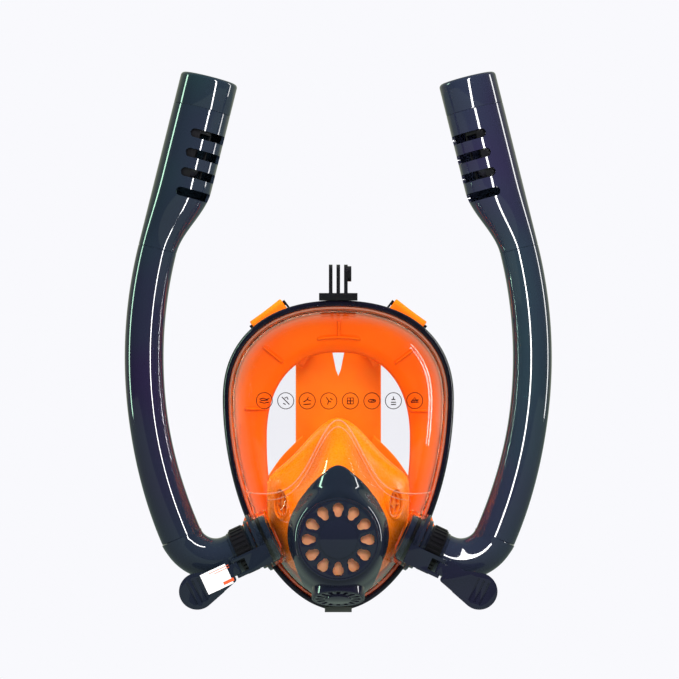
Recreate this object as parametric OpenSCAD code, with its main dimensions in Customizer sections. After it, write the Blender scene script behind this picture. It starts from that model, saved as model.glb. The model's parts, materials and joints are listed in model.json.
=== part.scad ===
// Full face snorkel mask with two side snorkels.
// Worn frame: +Z up, the wearer looks along -Y, +X to the right of someone facing the mask.
// Everything is drawn from the plane of the rim, and from_seal() then moves the origin
// to the middle of the face seal.

/* [Rim and lens] */
// Half width of the rim at its widest line
rim_half_w = 95.3; // [92:0.1:98]
// Height of the rim above its widest line
rim_rise = 81.5; // [79:0.5:84]
// Depth of the rim below its widest line
rim_drop = 171.5; // [168:0.5:175]
// Height of the widest line above the origin
rim_mid_z = 45; // [43:0.5:47]
// How far the sides of the rim sweep back to the temples
rim_sweep = 24; // [20:1:28]
// Wall of the lens
lens_wall = 2.2; // [1.8:0.1:2.6]
// How far the lens stands in front of the rim at the brow
brow_depth = 46; // [42:1:50]
// How far the muzzle stands in front of the brow
muzzle_depth = 45; // [42:1:48]

/* [Ports] */
// Slope of a port's axis below the horizon
port_tilt = 25; // [22:0.5:28]
// Distance from the rim's plane forward to the port axes
port_fore = 30; // [28:1:32]
// Bore of a port's socket
socket_bore = 38; // [37:0.5:39]
// Wall of a port's socket
socket_wall = 3.5; // [3:0.1:3.8]
// Gap between connector and socket
swivel_gap = 0.06; // [0.02:0.01:0.1]

/* [Snorkel tubes] */
// Diameter of a tube
tube_d = 31.4; // [30:0.2:32]
// Wall of a tube
tube_wall = 2.5; // [2:0.1:3]
// Radius of the bow of a tube
bow_r = 363; // [360:1:366]
// Distance from the middle of the mask to a tube at its widest
bow_x = 156.8; // [155:0.2:158]
// Radius of an elbow's bend
elbow_r = 30; // [29:0.5:31]

/* [Snorkel heads] */
// Diameter of a head
head_d = 46.6; // [45:0.2:48]
// Inward lean of a head
head_lean = 14; // [13:0.5:15]
// Length of a head, without its cap
head_l = 118; // [116:0.5:120]
// Height of the cap
cap_h = 26; // [24:0.5:28]
// Diameter of a float ball
ball_d = 20; // [19:0.2:20.4]
// Travel of a float ball
ball_travel = 26; // [22:0.5:27]

/* [Valves and grilles] */
// Diameter of the front grille
grille_d = 61.4; // [60:0.2:62]
// Slots in the front grille
grille_slots = 12; // [10:1:14]
// Diameter of the drain grille
drain_d = 39; // [37:0.5:40]
// Slots in the drain grille
drain_slots = 16; // [14:1:18]
// Slope of the drain grille's face below straight ahead
drain_tilt = 68; // [66:1:70]

/* [Camera mount] */
// Thickness of a prong
prong_t = 3; // [2.8:0.1:3]
// Distance between prongs, centre to centre
prong_pitch = 6.2; // [6.1:0.05:6.3]
// Diameter of the pivot bore
pivot_d = 5.2; // [5:0.1:5.4]

/* [Hidden] */
$fn = 64;
eps = 0.5;

seal_back = 28;          // rim plane to the face seal
round_top = 2.25;        // squareness of the outline above its widest line
round_low = 1.88;        // squareness of the outline below it
sweep_power = 2.2;
turns = 60;              // steps round a moulded shell
lens_inset = 7.3;        // rim edge to the lens wall
flange_inset = 3;        // rim edge to the lens flange
flange_front = 4.6;      // front of the lens flange, from the rim plane
wall_power = 12;         // how steeply the lens wall leaves the flange
wall_ease = 0.6;
brow_flat = 8;           // fall of the brow towards the temples
crease_low = -30;        // height of the crease at the cheeks
crease_rise = 60;        // its rise over the nose
crease_w = 26;
muzzle_w = 46;
muzzle_run = 35;         // distance below the crease over which the muzzle swells
cheek_share = 0.22;      // share of the muzzle's swelling that reaches the cheeks

grille_z = -62.4;
grille_y = -97.5;
boss_wall = 1.6;
boss_l = 12.6;
drain_c = [0, -68, -111.6];
drain_boss_l = 15;

black = "#1c1c22";
orange = "#ff6a13";
clear = "#dfe8ee88";

// ---- the outline and the depth of the mask ------------------------------------------

function bent(v, p) = sign(v) * pow(abs(v), p);

function rim_point(t, inset = 0) =
    let (up = sin(t) >= 0)
    let (b = up ? rim_rise : rim_drop)
    let (n = up ? round_top : round_low)
    [(rim_half_w - inset) * bent(cos(t), 2 / n), rim_mid_z + (b - inset) * bent(sin(t), 2 / n)];

function swept(x) = rim_sweep * pow(abs(x) / rim_half_w, sweep_power);

function share_out(x, z, inset) =
    let (up = z >= rim_mid_z)
    let (b = up ? rim_rise : rim_drop)
    let (n = up ? round_top : round_low)
    let (s = pow(abs(x) / (rim_half_w - inset), n) + pow(abs(z - rim_mid_z) / (b - inset), n))
    min(1, pow(s, 1 / n));

function crease_z(x) = crease_low + crease_rise * exp(-pow(x / crease_w, 2));

function muzzle(x, z) =
    let (below = max(0, crease_z(x) - z))
    let (across = cheek_share + (1 - cheek_share) * exp(-pow(abs(x) / muzzle_w, 4)))
    muzzle_depth * across * (1 - exp(-below / muzzle_run));

function brow(x) = brow_depth - brow_flat * pow(x / rim_half_w, 2);

// Depth of the lens at a place; into moves the surface that far into the wall.
function lens_y(x, z, into = 0) =
    let (out = share_out(x, z, lens_inset + into))
    let (wall = pow(max(0, 1 - pow(out, wall_power)), wall_ease))
    swept(x) - flange_front + into - (brow(x) + muzzle(x, z)) * wall;

function middle(ring) = [for (k = [0:2]) [for (p = ring) p[k]] * [for (p = ring) 1] / len(ring)];

// A closed skin over a list of rings, shut by a fan at each end.
module skin(rings) {
    n = len(rings[0]);
    m = len(rings);
    sides = [for (j = [0:m - 2], i = [0:n - 1])
        let (k = (i + 1) % n, a = j * n, b = (j + 1) * n)
        each [[a + i, a + k, b + k], [a + i, b + k, b + i]]];
    ends = [for (i = [0:n - 1])
        let (k = (i + 1) % n)
        each [[m * n, k, i], [m * n + 1, (m - 1) * n + i, (m - 1) * n + k]]];
    points = concat([for (r = rings) each r], [middle(rings[0]), middle(rings[m - 1])]);
    polyhedron(points, concat(sides, ends));
}

// A closed skin over rings that join up into a tube, last to first.
module hoop(rings) {
    n = len(rings[0]);
    m = len(rings);
    faces = [for (j = [0:m - 1], i = [0:n - 1])
        let (k = (i + 1) % n, a = j * n, b = ((j + 1) % m) * n)
        each [[a + i, a + k, b + k], [a + i, b + k, b + i]]];
    polyhedron([for (r = rings) each r], faces);
}

function rim_ring(inset, y) = [for (i = [0:turns - 1])
    let (p = rim_point(360 * i / turns, inset)) [p[0], swept(p[0]) + y, p[1]]];

function lens_ring(share, into) = [for (i = [0:turns - 1])
    let (p = rim_point(360 * i / turns, lens_inset + into))
    let (x = share * p[0])
    let (z = rim_mid_z + share * (p[1] - rim_mid_z))
    [x, lens_y(x, z, into), z]];

module from_seal() translate([0, -seal_back, 0]) children();

// ---- lens, frame and skirt ----------------------------------------------------------

lens_steps = [0.04, 0.2, 0.34, 0.46, 0.57, 0.67, 0.76, 0.84, 0.9, 0.95, 0.985, 1];

module lens_shell() {
    outside = [for (s = lens_steps) lens_ring(s, 0)];
    edge = [rim_ring(flange_inset, -flange_front), rim_ring(flange_inset, lens_wall - flange_front)];
    inside = [for (j = [len(lens_steps) - 1:-1:0]) lens_ring(lens_steps[j], lens_wall)];
    skin(concat(outside, edge, inside));
}

module lens() color(clear) difference() {
    lens_shell();
    at_grille() translate([0, 0, -40]) cylinder(r = grille_d / 2 + boss_wall + 0.3, h = 60);
    at_drain() translate([0, 0, -30]) cylinder(r = drain_d / 2 + boss_wall + 0.3, h = 50);
    for (side = [0, 1])
        at_port(side) {
            translate([0, 0, -18]) cylinder(r = socket_bore / 2 + socket_wall, h = 44);
            translate([0, 0, clamp_from - 0.4]) cylinder(r = clamp_r + 0.4, h = 40);
        }
}

frame_profile = [[5, -6.6], [4, -8], [1.4, -8], [0, -6.4], [0, 6.5], [0.8, 8],
    [2.6, 8], [2.6, -4.8], [5, -4.8]];

module frame() color(black) hoop([for (p = frame_profile) rim_ring(p[0], p[1])]);

open_half_w = 59.5;
open_mid_z = 12;
open_rise = 72;
open_drop = 108;
open_round = 2.3;

function open_point(t) = [open_half_w * bent(cos(t), 2 / open_round),
    open_mid_z + (sin(t) >= 0 ? open_rise : open_drop) * bent(sin(t), 2 / open_round)];

// Each step of the skirt: share of the way from the rim to the face opening, and depth.
skirt_profile = [[1, 25], [0.97, 19], [0.8, 13], [0.45, 7], [0.14, -1.2], [0, -2.2],
    [0, 6], [0.1, 9], [0.4, 13], [0.75, 19], [0.93, 26], [0.99, 27.5]];

function skirt_ring(share, y) = [for (i = [0:turns - 1])
    let (t = 360 * i / turns)
    let (p = rim_point(t, flange_inset + 0.1) * (1 - share) + open_point(t) * share)
    [p[0], swept(p[0]) + y, p[1]]];

module skirt() color(orange) hoop([for (p = skirt_profile) skirt_ring(p[0], p[1])]);

// ---- nose pocket and its inhale valves -----------------------------------------------

pocket_half_w = 57;
pocket_mid_z = -40;
pocket_drop = 68;
pocket_gap = 8;          // lens to pocket
pocket_wall = 2;
pocket_foot_y = -8;      // where the dome of the pocket meets its foot

function pocket_top(x) = -14 + 43 * exp(-pow(x / 36, 2));

function pocket_point(t) =
    let (x = pocket_half_w * cos(t))
    [x, pocket_mid_z + (sin(t) >= 0 ? (pocket_top(x) - pocket_mid_z) * pow(sin(t), 0.25)
        : pocket_drop * sin(t))];

function pocket_ring(share, into) = [for (i = [0:turns - 1])
    let (p = pocket_point(360 * i / turns))
    let (x = share * p[0] * (1 - into / pocket_half_w))
    let (z = pocket_mid_z + share * (p[1] - pocket_mid_z) * (1 - into / pocket_drop))
    let (dome = sqrt(1 - pow(share, 5)))
    [x, pocket_foot_y + (lens_y(x, z) + pocket_gap + into - pocket_foot_y) * dome, z]];

// The wall from the pocket back towards the face; back runs from 0 at its front to 1.
function pocket_foot(grow, back) = [for (i = [0:turns - 1])
    let (p = pocket_point(360 * i / turns))
    let (z = pocket_mid_z + grow * (p[1] - pocket_mid_z))
    [grow * p[0], pocket_foot_y + back * (13 + 1.6 * swept(p[0])), z]];

pocket_steps = [0.08, 0.3, 0.5, 0.64, 0.76, 0.86, 0.93, 0.975, 1];

module nose_pocket() color(orange) difference() {
    union() {
        skin(concat([for (s = pocket_steps) pocket_ring(s, 0)],
            [pocket_foot(1.02, 0), pocket_foot(1.02, 1)],
            [pocket_foot(0.97, 1), pocket_foot(0.97, 0)],
            [for (j = [len(pocket_steps) - 1:-1:0]) pocket_ring(pocket_steps[j], pocket_wall)]));
        for (side = [0, 1])
            at_inhale(side) translate([0, 0, -6]) cylinder(r = inhale_r + 2, h = 8);
    }
    at_grille() translate([0, 0, -40]) cylinder(r = 27, h = 60);
    at_drain() translate([0, 0, -30]) cylinder(r = drain_d / 2 + 2.4, h = 50);
    for (side = [0, 1])
        at_inhale(side) translate([0, 0, -20]) cylinder(r = inhale_r + 0.1, h = 40);
    for (side = [0, 1])
        at_port(side) translate([0, 0, -socket_l - 0.6])
            cylinder(r = socket_bore / 2 + socket_wall + 0.4, h = 40);
}

inhale_r = 11;
inhale_c = [45, -36.5, -38];
inhale_turn = 62;        // turn of a valve's face from straight ahead to the side

module at_inhale(side) mirror([side, 0, 0]) translate(inhale_c)
    rotate([0, 0, inhale_turn]) rotate([90, 0, 0]) children();

module spider(r, hub_r, ring_w, spokes, spoke_w, h) {
    difference() {
        cylinder(r = r, h = h);
        translate([0, 0, -eps]) cylinder(r = r - ring_w, h = h + 2 * eps);
    }
    cylinder(r = hub_r, h = h);
    for (i = [0:spokes - 1]) rotate([0, 0, 360 * i / spokes])
        translate([0, -spoke_w / 2, 0]) cube([r - ring_w / 2, spoke_w, h]);
}

module inhale_seat(side) color(black) at_inhale(side) {
    translate([0, 0, -2.4]) spider(inhale_r, 3.2, 2.4, 4, 1.6, 2.4);
    translate([0, 0, -6]) cylinder(r = 1.5, h = 4.6);
}

module inhale_flap(side) color("#f2f2ee") at_inhale(side) difference() {
    translate([0, 0, -3.4]) cylinder(r = 9.8, h = 0.9);
    translate([0, 0, -5]) cylinder(r = 1.55, h = 4);
}

// ---- nose cover, front grille and drain ------------------------------------------------

module at_grille() translate([0, grille_y, grille_z]) rotate([90, 0, 0]) children();

module at_drain() translate(drain_c) rotate([90 + drain_tilt, 0, 0]) children();

// Reach of the nose cover from the grille's centre: angle above the horizon, distance.
cover_reach = [[-90, 57], [-76, 56], [-66, 52.5], [-56.6, 49], [-47, 44.6], [-29, 40],
    [-12, 40], [11, 40.8], [35.4, 41.5], [52.4, 43.9], [64.7, 47.5], [78, 52.6], [84, 56.4],
    [90, 58]];
cover_lift = 3.2;
cover_under = 1.2;

function cover_ring(share, lift) = [for (i = [0:turns - 1])
    let (t = 360 * i / turns)
    let (reach = share * lookup(asin(sin(t)), cover_reach))
    let (x = reach * cos(t))
    let (z = grille_z + reach * sin(t))
    [x, lens_y(x, z) - lift, z]];

cover_steps = [0.1, 0.4, 0.62, 0.78, 0.9, 1];

module nose_cover() color(black) difference() {
    union() {
        skin(concat([for (s = cover_steps) cover_ring(s, cover_lift)],
            [for (j = [len(cover_steps) - 1:-1:0]) cover_ring(cover_steps[j], cover_under)]));
        at_grille() translate([0, 0, -boss_l]) cylinder(r = grille_d / 2 + boss_wall, h = boss_l);
        at_drain() translate([0, 0, -drain_boss_l])
            cylinder(r = drain_d / 2 + boss_wall, h = drain_boss_l);
    }
    at_grille() translate([0, 0, -60]) cylinder(r = grille_d / 2 + 0.1, h = 80);
    at_drain() translate([0, 0, -40]) cylinder(r = drain_d / 2 + 0.1, h = 60);
}

module slotted_disc(r, h, slots, slot_in, slot_out, w_in, w_out) difference() {
    cylinder(r = r, h = h);
    for (i = [0:slots - 1]) rotate([0, 0, 360 * i / slots]) translate([0, 0, -eps])
        linear_extrude(h + 2 * eps) {
            translate([slot_in + w_in / 2, 0]) circle(w_in / 2, $fn = 24);
            translate([slot_out - w_out / 2, 0]) circle(w_out / 2, $fn = 24);
            polygon([[slot_in + w_in / 2, -w_in / 2], [slot_out - w_out / 2, -w_out / 2],
                [slot_out - w_out / 2, w_out / 2], [slot_in + w_in / 2, w_in / 2]]);
        }
}

module front_grille() color(black) at_grille() {
    translate([0, 0, -3]) slotted_disc(grille_d / 2, 3, grille_slots, 17.6, 28.8, 5.6, 8.6);
    cylinder(r = 15, h = 1.6);
}

module exhaust_seat() color(black) at_grille() {
    translate([0, 0, -12]) slotted_disc(grille_d / 2, 3, 8, 7, 26, 3, 11);
    translate([0, 0, -10]) cylinder(r = 2.4, h = 5.6);
}

module exhaust_flap() color("#f0703a") at_grille() difference() {
    translate([0, 0, -8.9]) cylinder(r = 28.6, h = 1.2);
    translate([0, 0, -12]) cylinder(r = 2.45, h = 8);
}

module drain_grille() color(black) at_drain() {
    translate([0, 0, -2.4]) slotted_disc(drain_d / 2, 2.4, drain_slots, 11.2, 18.2, 2, 3.4);
    cylinder(r = 10.4, h = 1.2);
}

module drain_seat() color(black) at_drain() {
    translate([0, 0, -10]) spider(drain_d / 2, 4, 3.2, 4, 2, 2.6);
    translate([0, 0, -8]) cylinder(r = 2, h = 4.4);
}

module drain_flap() color("#f2f2ee") at_drain() difference() {
    translate([0, 0, -7.3]) cylinder(r = drain_d / 2 - 1.8, h = 1.1);
    translate([0, 0, -10]) cylinder(r = 2.05, h = 8);
}

// ---- camera mount and chin clip -------------------------------------------------------

mount_z = rim_mid_z + rim_rise;
pivot_z = mount_z + 21.8;
prong_r = 7.6;
boss_x = prong_pitch + prong_t / 2;
nut_flats = 8;

module along_x(x) translate([x, 0, pivot_z]) rotate([0, 90, 0]) children();

module camera_mount() color(black) difference() {
    union() {
        translate([-15.7, -9, mount_z]) cube([31.4, 18, 6]);
        for (i = [-1:1]) {
            along_x(i * prong_pitch - prong_t / 2) cylinder(r = prong_r, h = prong_t);
            translate([i * prong_pitch - prong_t / 2, -prong_r, mount_z + 5])
                cube([prong_t, 2 * prong_r, pivot_z - mount_z - 5]);
        }
        along_x(boss_x) cylinder(r = 6.3, h = 3);
    }
    along_x(-20) cylinder(d = pivot_d, h = 40);
    along_x(boss_x - 0.2) cylinder(d = nut_flats / cos(30) + 0.2, h = 5, $fn = 6);
}

module camera_nut() color("silver") along_x(boss_x) difference() {
    cylinder(d = nut_flats / cos(30), h = 2.8, $fn = 6);
    translate([0, 0, -eps]) cylinder(d = 4.3, h = 5);
}

chin_z = rim_mid_z - rim_drop;

module chin_clip() color("#4b524c") {
    translate([-11, -9.4, chin_z - 1.1]) cube([22, 16, 1]);
    translate([-11, -9.6, chin_z - 1.1]) cube([22, 1.2, 4.6]);
}

// ---- head harness ----------------------------------------------------------------------

bar_c = [56, 25, 112.5];
bar_turn = 37;           // slope of the frame where a strap bar sits
strap_w = 32;
lower_w = 21.6;
strap_t = 2.4;
pad_y = 74;

module at_bar(side) mirror([side, 0, 0]) translate(bar_c) rotate([0, bar_turn, 0]) children();

module strap_bar(side) color(black) at_bar(side) {
    translate([-17, 0, 3]) rotate([0, 90, 0]) cylinder(d = 4, h = 34);
    for (x = [-18, 16.4]) translate([x, -4.5, -6]) cube([1.6, 9, 11]);
}

function unit(v) = v / norm(v);

// A flat strap along a path; across holds the width direction at each point.
module strap(path, across, w, t) {
    last = len(path) - 1;
    rings = [for (i = [0:last])
        let (run = unit(path[min(last, i + 1)] - path[max(0, i - 1)]))
        let (side = unit(across[i]))
        let (up = unit(cross(run, side)))
        [for (c = [[-1, -1], [-1, 1], [1, 1], [1, -1]])
            path[i] + side * c[0] * w / 2 + up * c[1] * t / 2]];
    skin(rings);
}

function on_bar(p) = bar_c + [cos(bar_turn) * p[0] + sin(bar_turn) * p[2], p[1],
    cos(bar_turn) * p[2] - sin(bar_turn) * p[0]];

along_bar = on_bar([1, 0, 0]) - bar_c;
loop_r = 3.6;
upper_path = concat(
    [on_bar([0, -loop_r, -9]), on_bar([0, -loop_r, -2])],
    [for (a = [0:45:180]) on_bar([0, -loop_r * cos(a), 3 + loop_r * sin(a)])],
    [on_bar([0, loop_r, -4]), [49, 40, 103], [42, 56, 98], [33, pad_y - 4, 92], [22, pad_y, 84]]);
upper_across = [for (i = [0:len(upper_path) - 1])
    let (s = max(0, i - 7) / (len(upper_path) - 8))
    along_bar * (1 - s) + [0.55, 0, -0.84] * s];

module upper_arm(side) color(orange) mirror([side, 0, 0])
    strap(upper_path, upper_across, strap_w, strap_t);

lower_path = [[69, -4.6, -73], [75, 3, -73], [76.5, 20, -72], [76, 34, -66], [70, 48, -52],
    [57, 63, -32], [44, pad_y - 3, -14], [26, pad_y, 4]];
lower_across = [for (i = [0:len(lower_path) - 1]) [0.06 * i, 0, 1]];

module lower_arm(side) color(orange) mirror([side, 0, 0])
    strap(lower_path, lower_across, lower_w, strap_t);

module harness_pad() color(orange) translate([0, pad_y + 5, 0]) rotate([90, 0, 0])
    linear_extrude(3) difference() {
        hull() for (x = [-24, 24], z = [4, 84]) translate([x, z]) circle(12);
        polygon([[-10, 97], [-6, 84], [0, 63], [6, 84], [10, 97]]);
    }

// ---- ports, elbows and tubes ------------------------------------------------------------

bow_c = [bow_x - bow_r, 80];
join_angle = -23.5;      // place on the bow where the elbow takes over
elbow_c = bow_c + (bow_r - elbow_r) * [cos(join_angle), sin(join_angle)];
elbow_foot = elbow_c + elbow_r * [cos(-90 - port_tilt), sin(-90 - port_tilt)];
neck_l = 23.4;           // port rim to the elbow's bend
port_c = elbow_foot - neck_l * [cos(port_tilt), -sin(port_tilt)];
socket_l = 16;
barrel_r = socket_bore / 2 - swivel_gap;
neck_r = 17.5;
flow_r = 13.2;

module at_port(side) mirror([side, 0, 0]) translate([port_c[0], -port_fore, port_c[1]])
    rotate([0, 90 + port_tilt, 0]) children();

module tube_of(r_out, r_in, from, to) translate([0, 0, from]) difference() {
    cylinder(r = r_out, h = to - from);
    translate([0, 0, -eps]) cylinder(r = r_in, h = to - from + 2 * eps);
}

module socket(side) color(clear) at_port(side)
    tube_of(socket_bore / 2 + socket_wall, socket_bore / 2, -socket_l, 0);

module connector(side) color(black) at_port(side) difference() {
    union() {
        translate([0, 0, -socket_l + 2]) cylinder(r = barrel_r, h = socket_l - 2 + 0.4);
        translate([0, 0, 0.4]) cylinder(r = 21, h = 3);
        translate([0, 0, 3.4]) cylinder(r = neck_r, h = neck_l - 3.4);
    }
    translate([0, 0, -socket_l]) cylinder(r = flow_r, h = 50);
    translate([0, 0, -9]) tube_of(20, 17, 0, 2.6);
}

module socket_seal(side) color("#151515") at_port(side) tube_of(18.9, 17.02, -8.9, -6.5);

collar_r = 18.6;
knurls = 28;

module lock_collar(side) color(black) at_port(side) difference() {
    union() {
        translate([0, 0, 5]) cylinder(r = collar_r, h = 13);
        for (i = [0:knurls - 1]) rotate([0, 0, 360 * i / knurls])
            translate([collar_r, 0, 6]) cylinder(r = 0.9, h = 11, $fn = 8);
    }
    translate([0, 0, 4]) cylinder(r = neck_r + 0.05, h = 16);
}

// A pipe bent round a centre in the plane of the ports.
module bow(centre, radius, r_out, r_in, from, to) translate([centre[0], -port_fore, centre[1]])
    rotate([90, 0, 0]) rotate([0, 0, from]) rotate_extrude(angle = to - from, $fn = 96)
        translate([radius, 0]) difference() {
            circle(r_out, $fn = 48);
            circle(r_in, $fn = 48);
        }

tube_r = tube_d / 2;
elbow_tube_r = 16.8;

module elbow(side) color(black) mirror([side, 0, 0])
    bow(elbow_c, elbow_r, elbow_tube_r, flow_r, -90 - port_tilt, join_angle);

module tube(side) color(black) mirror([side, 0, 0])
    bow(bow_c, bow_r, tube_r, tube_r - tube_wall, join_angle, head_lean);

// ---- snorkel heads ----------------------------------------------------------------------

head_foot = bow_c + bow_r * [cos(head_lean), sin(head_lean)];
head_r = head_d / 2;
head_in = head_r - tube_r;
taper_l = 55;
head_wall = 2.4;
slot_from = 49;
slot_pitch = 16;
slot_h = 7;
slot_count = 4;
cage_c = [-head_in - 1, -7.2];
cage_r = ball_d / 2 + 0.4;
cage_wall = 1.6;
ball_rest = 70;
seat_hole_r = 8.2;
seat_rise = sqrt(pow(ball_d / 2, 2) - pow(seat_hole_r, 2)) + 0.15;
seat_z = ball_rest + ball_travel + seat_rise;
cage_floor = ball_rest - ball_d / 2 - 0.1;

module at_head(side) mirror([side, 0, 0]) translate([head_foot[0], -port_fore, head_foot[1]])
    rotate([0, -head_lean, 0]) children();

module head_solid(less, from, to) {
    hull() {
        translate([0, 0, from]) cylinder(r = tube_r - less, h = 0.5, $fn = 48);
        translate([-head_in, 0, taper_l]) cylinder(r = head_r - less, h = 0.5, $fn = 48);
    }
    translate([-head_in, 0, taper_l]) cylinder(r = head_r - less, h = to - taper_l);
}

module head(side) color(black) at_head(side) difference() {
    head_solid(0, 0, head_l);
    head_solid(head_wall, -0.2, head_l + 1);
    for (i = [0:slot_count - 1])
        translate([-head_in, 0, slot_from + i * slot_pitch]) slot_cutter();
}

// A wedge from straight ahead round to the inner side, as high as a slot.
module slot_cutter() translate([0, 0, -slot_h / 2]) linear_extrude(slot_h)
    polygon([[2, 0], [2, -40], [-40, -40], [-40, 6], [-8, 6]]);

module head_cap(side) color(black) at_head(side) translate([-head_in, 0, head_l]) difference() {
    union() {
        cylinder(r = head_r, h = cap_h - 3);
        translate([0, 0, cap_h - 3]) rotate_extrude() intersection() {
            translate([head_r - 3, 0]) circle(3, $fn = 32);
            square([head_r, 3]);
        }
        translate([0, 0, cap_h - 3]) cylinder(r = head_r - 3, h = 3);
        translate([0, 0, -4]) cylinder(r = head_r - head_wall - 0.05, h = 4.5);
    }
    translate([0, 0, -5]) cylinder(r = head_r - head_wall - 1.6, h = cap_h + 5 - 2.4);
}

module float_cage(side) color("#2a2a30") at_head(side) translate([cage_c[0], cage_c[1], 0])
    difference() {
        translate([0, 0, cage_floor - 2.3])
            cylinder(r = cage_r + cage_wall, h = seat_z - cage_floor + 2.2);
        translate([0, 0, cage_floor]) cylinder(r = cage_r, h = seat_z - cage_floor + 1);
        for (i = [0:3]) rotate([0, 0, 45 + 90 * i]) translate([0, -5.5, cage_floor + 2])
            cube([30, 11, seat_z - cage_floor - 6]);
    }

module float_seat(side) color("#2a2a30") at_head(side) translate([0, 0, seat_z]) difference() {
    translate([-head_in, 0, 0]) cylinder(r = head_r - head_wall, h = 2.2);
    translate([cage_c[0], cage_c[1], -eps]) cylinder(r = seat_hole_r, h = 4);
    translate([-head_in, 13, -eps]) cylinder(r = 5.5, h = 4);
}

module float_ball(side) color("#b8b8b4") at_head(side)
    translate([cage_c[0], cage_c[1], ball_rest]) sphere(d = ball_d, $fn = 48);

// ---- strap clips ---------------------------------------------------------------------------

pin_w = 22;              // clip pin, out along the port axis
pin_y = -25.4;
pin_r = 1.5;
clip_gap = 0.05;
clamp_r = 24.5;
clamp_from = -3.4;
clip_back = -23;
clip_front = -28;
clip_from = [9.6, pin_w];
clip_round = [13.1, 58.3];
clip_round_r = 14.6;
clip_half_w = 9.5;

module clip_base(side) color(black) at_port(side) difference() {
    union() {
        tube_of(clamp_r, socket_bore / 2 + socket_wall + 0.02, clamp_from, -0.6);
        translate([clip_from[0] - 8, -27.6, -7]) cube([16, 6.4, 20]);
        for (x = [-8, 5]) translate([clip_from[0] + x, -27.6, 12]) cube([3, 4.6, 12]);
    }
    translate([0, 0, -0.9]) cylinder(r = 21.4, h = 40);
    translate([0, 0, -9]) cylinder(r = socket_bore / 2 + socket_wall + 0.02, h = 9);
    translate([clip_from[0] - 12, pin_y, pin_w]) rotate([0, 90, 0]) cylinder(r = pin_r, h = 24);
}

module clip_pin(side) color("silver") at_port(side)
    translate([clip_from[0] - 8, pin_y, pin_w]) rotate([0, 90, 0])
        cylinder(r = pin_r - 0.01, h = 16);

module strap_clip(side) color(black) at_port(side) difference() {
    union() {
        translate([0, clip_back, 0]) rotate([90, 0, 0]) linear_extrude(clip_back - clip_front)
            hull() {
                translate([clip_from[0] - clip_half_w + 2, pin_w + 6]) circle(2, $fn = 24);
                translate([clip_from[0] + clip_half_w - 2, pin_w + 6]) circle(2, $fn = 24);
                translate(clip_round - [0, 18]) square([2 * clip_half_w, 1], center = true);
            }
        translate([0, clip_back, 0]) rotate([90, 0, 0]) linear_extrude(clip_back - clip_front)
            hull() {
                translate(clip_round - [0, 19]) square([2 * clip_half_w, 1], center = true);
                translate(clip_round) circle(clip_round_r, $fn = 48);
            }
        translate([clip_from[0] - 4.6, clip_front + 0.2, pin_w - 1]) cube([9.2, 4.6, 8]);
        translate([clip_from[0] - 4.6, pin_y, pin_w]) rotate([0, 90, 0])
            cylinder(r = 2.5, h = 9.2);
    }
    translate([clip_from[0] - 12, pin_y, pin_w]) rotate([0, 90, 0])
        cylinder(r = pin_r + clip_gap, h = 24);
    for (i = [-1:1]) translate([clip_round[0] - 9.5, clip_front - 1, clip_round[1] + 4.5 * i - 0.8])
        cube([19, 1.8, 1.6]);
}

module clip_label() color("white") at_port(1)
    translate([clip_from[0] + 1.2 - 8.5, clip_front - 0.35, pin_w + 7]) cube([17, 0.3, 22]);

// ---- the nodes ------------------------------------------------------------------------------

from_seal() lens();
from_seal() frame();
from_seal() skirt();
from_seal() nose_pocket();
from_seal() nose_cover();
from_seal() front_grille();
from_seal() exhaust_seat();
from_seal() exhaust_flap();
from_seal() drain_grille();
from_seal() drain_seat();
from_seal() drain_flap();
from_seal() inhale_seat(1);  // inhale_seat_left
from_seal() inhale_seat(0);  // inhale_seat_right
from_seal() inhale_flap(1);  // inhale_flap_left
from_seal() inhale_flap(0);  // inhale_flap_right
from_seal() camera_mount();
from_seal() camera_nut();
from_seal() chin_clip();
from_seal() strap_bar(1);  // strap_bar_left
from_seal() strap_bar(0);  // strap_bar_right
from_seal() harness_pad();
from_seal() upper_arm(1);  // upper_arm_left
from_seal() upper_arm(0);  // upper_arm_right
from_seal() lower_arm(1);  // lower_arm_left
from_seal() lower_arm(0);  // lower_arm_right
from_seal() socket(1);  // socket_left
from_seal() socket(0);  // socket_right
from_seal() connector(1);  // connector_left
from_seal() connector(0);  // connector_right
from_seal() socket_seal(1);  // socket_seal_left
from_seal() socket_seal(0);  // socket_seal_right
from_seal() lock_collar(1);  // lock_collar_left
from_seal() lock_collar(0);  // lock_collar_right
from_seal() elbow(1);  // elbow_left
from_seal() elbow(0);  // elbow_right
from_seal() tube(1);  // tube_left
from_seal() tube(0);  // tube_right
from_seal() head(1);  // head_left
from_seal() head(0);  // head_right
from_seal() head_cap(1);  // head_cap_left
from_seal() head_cap(0);  // head_cap_right
from_seal() float_cage(1);  // float_cage_left
from_seal() float_cage(0);  // float_cage_right
from_seal() float_seat(1);  // float_seat_left
from_seal() float_seat(0);  // float_seat_right
from_seal() float_ball(1);  // float_ball_left
from_seal() float_ball(0);  // float_ball_right
from_seal() clip_base(1);  // clip_base_left
from_seal() clip_base(0);  // clip_base_right
from_seal() clip_pin(1);  // clip_pin_left
from_seal() clip_pin(0);  // clip_pin_right
from_seal() strap_clip(1);  // strap_clip_left
from_seal() strap_clip(0);  // strap_clip_right
from_seal() clip_label();
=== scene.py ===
# %% [markdown]
# # A full face snorkel mask with two side snorkels
# This lesson dresses a packed mechanical model. The frame gives every size and joint; each piece
# here is either a smooth, finely meshed version of a moulded part, made from the same formula as
# the design, or the design's own part with its edges broken and a real finish.

# %% Load the frame and keep its box
import json
import math

import bmesh
import bpy
import numpy as np
from mathutils import Matrix, Vector
from mathutils.bvhtree import BVHTree

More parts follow.
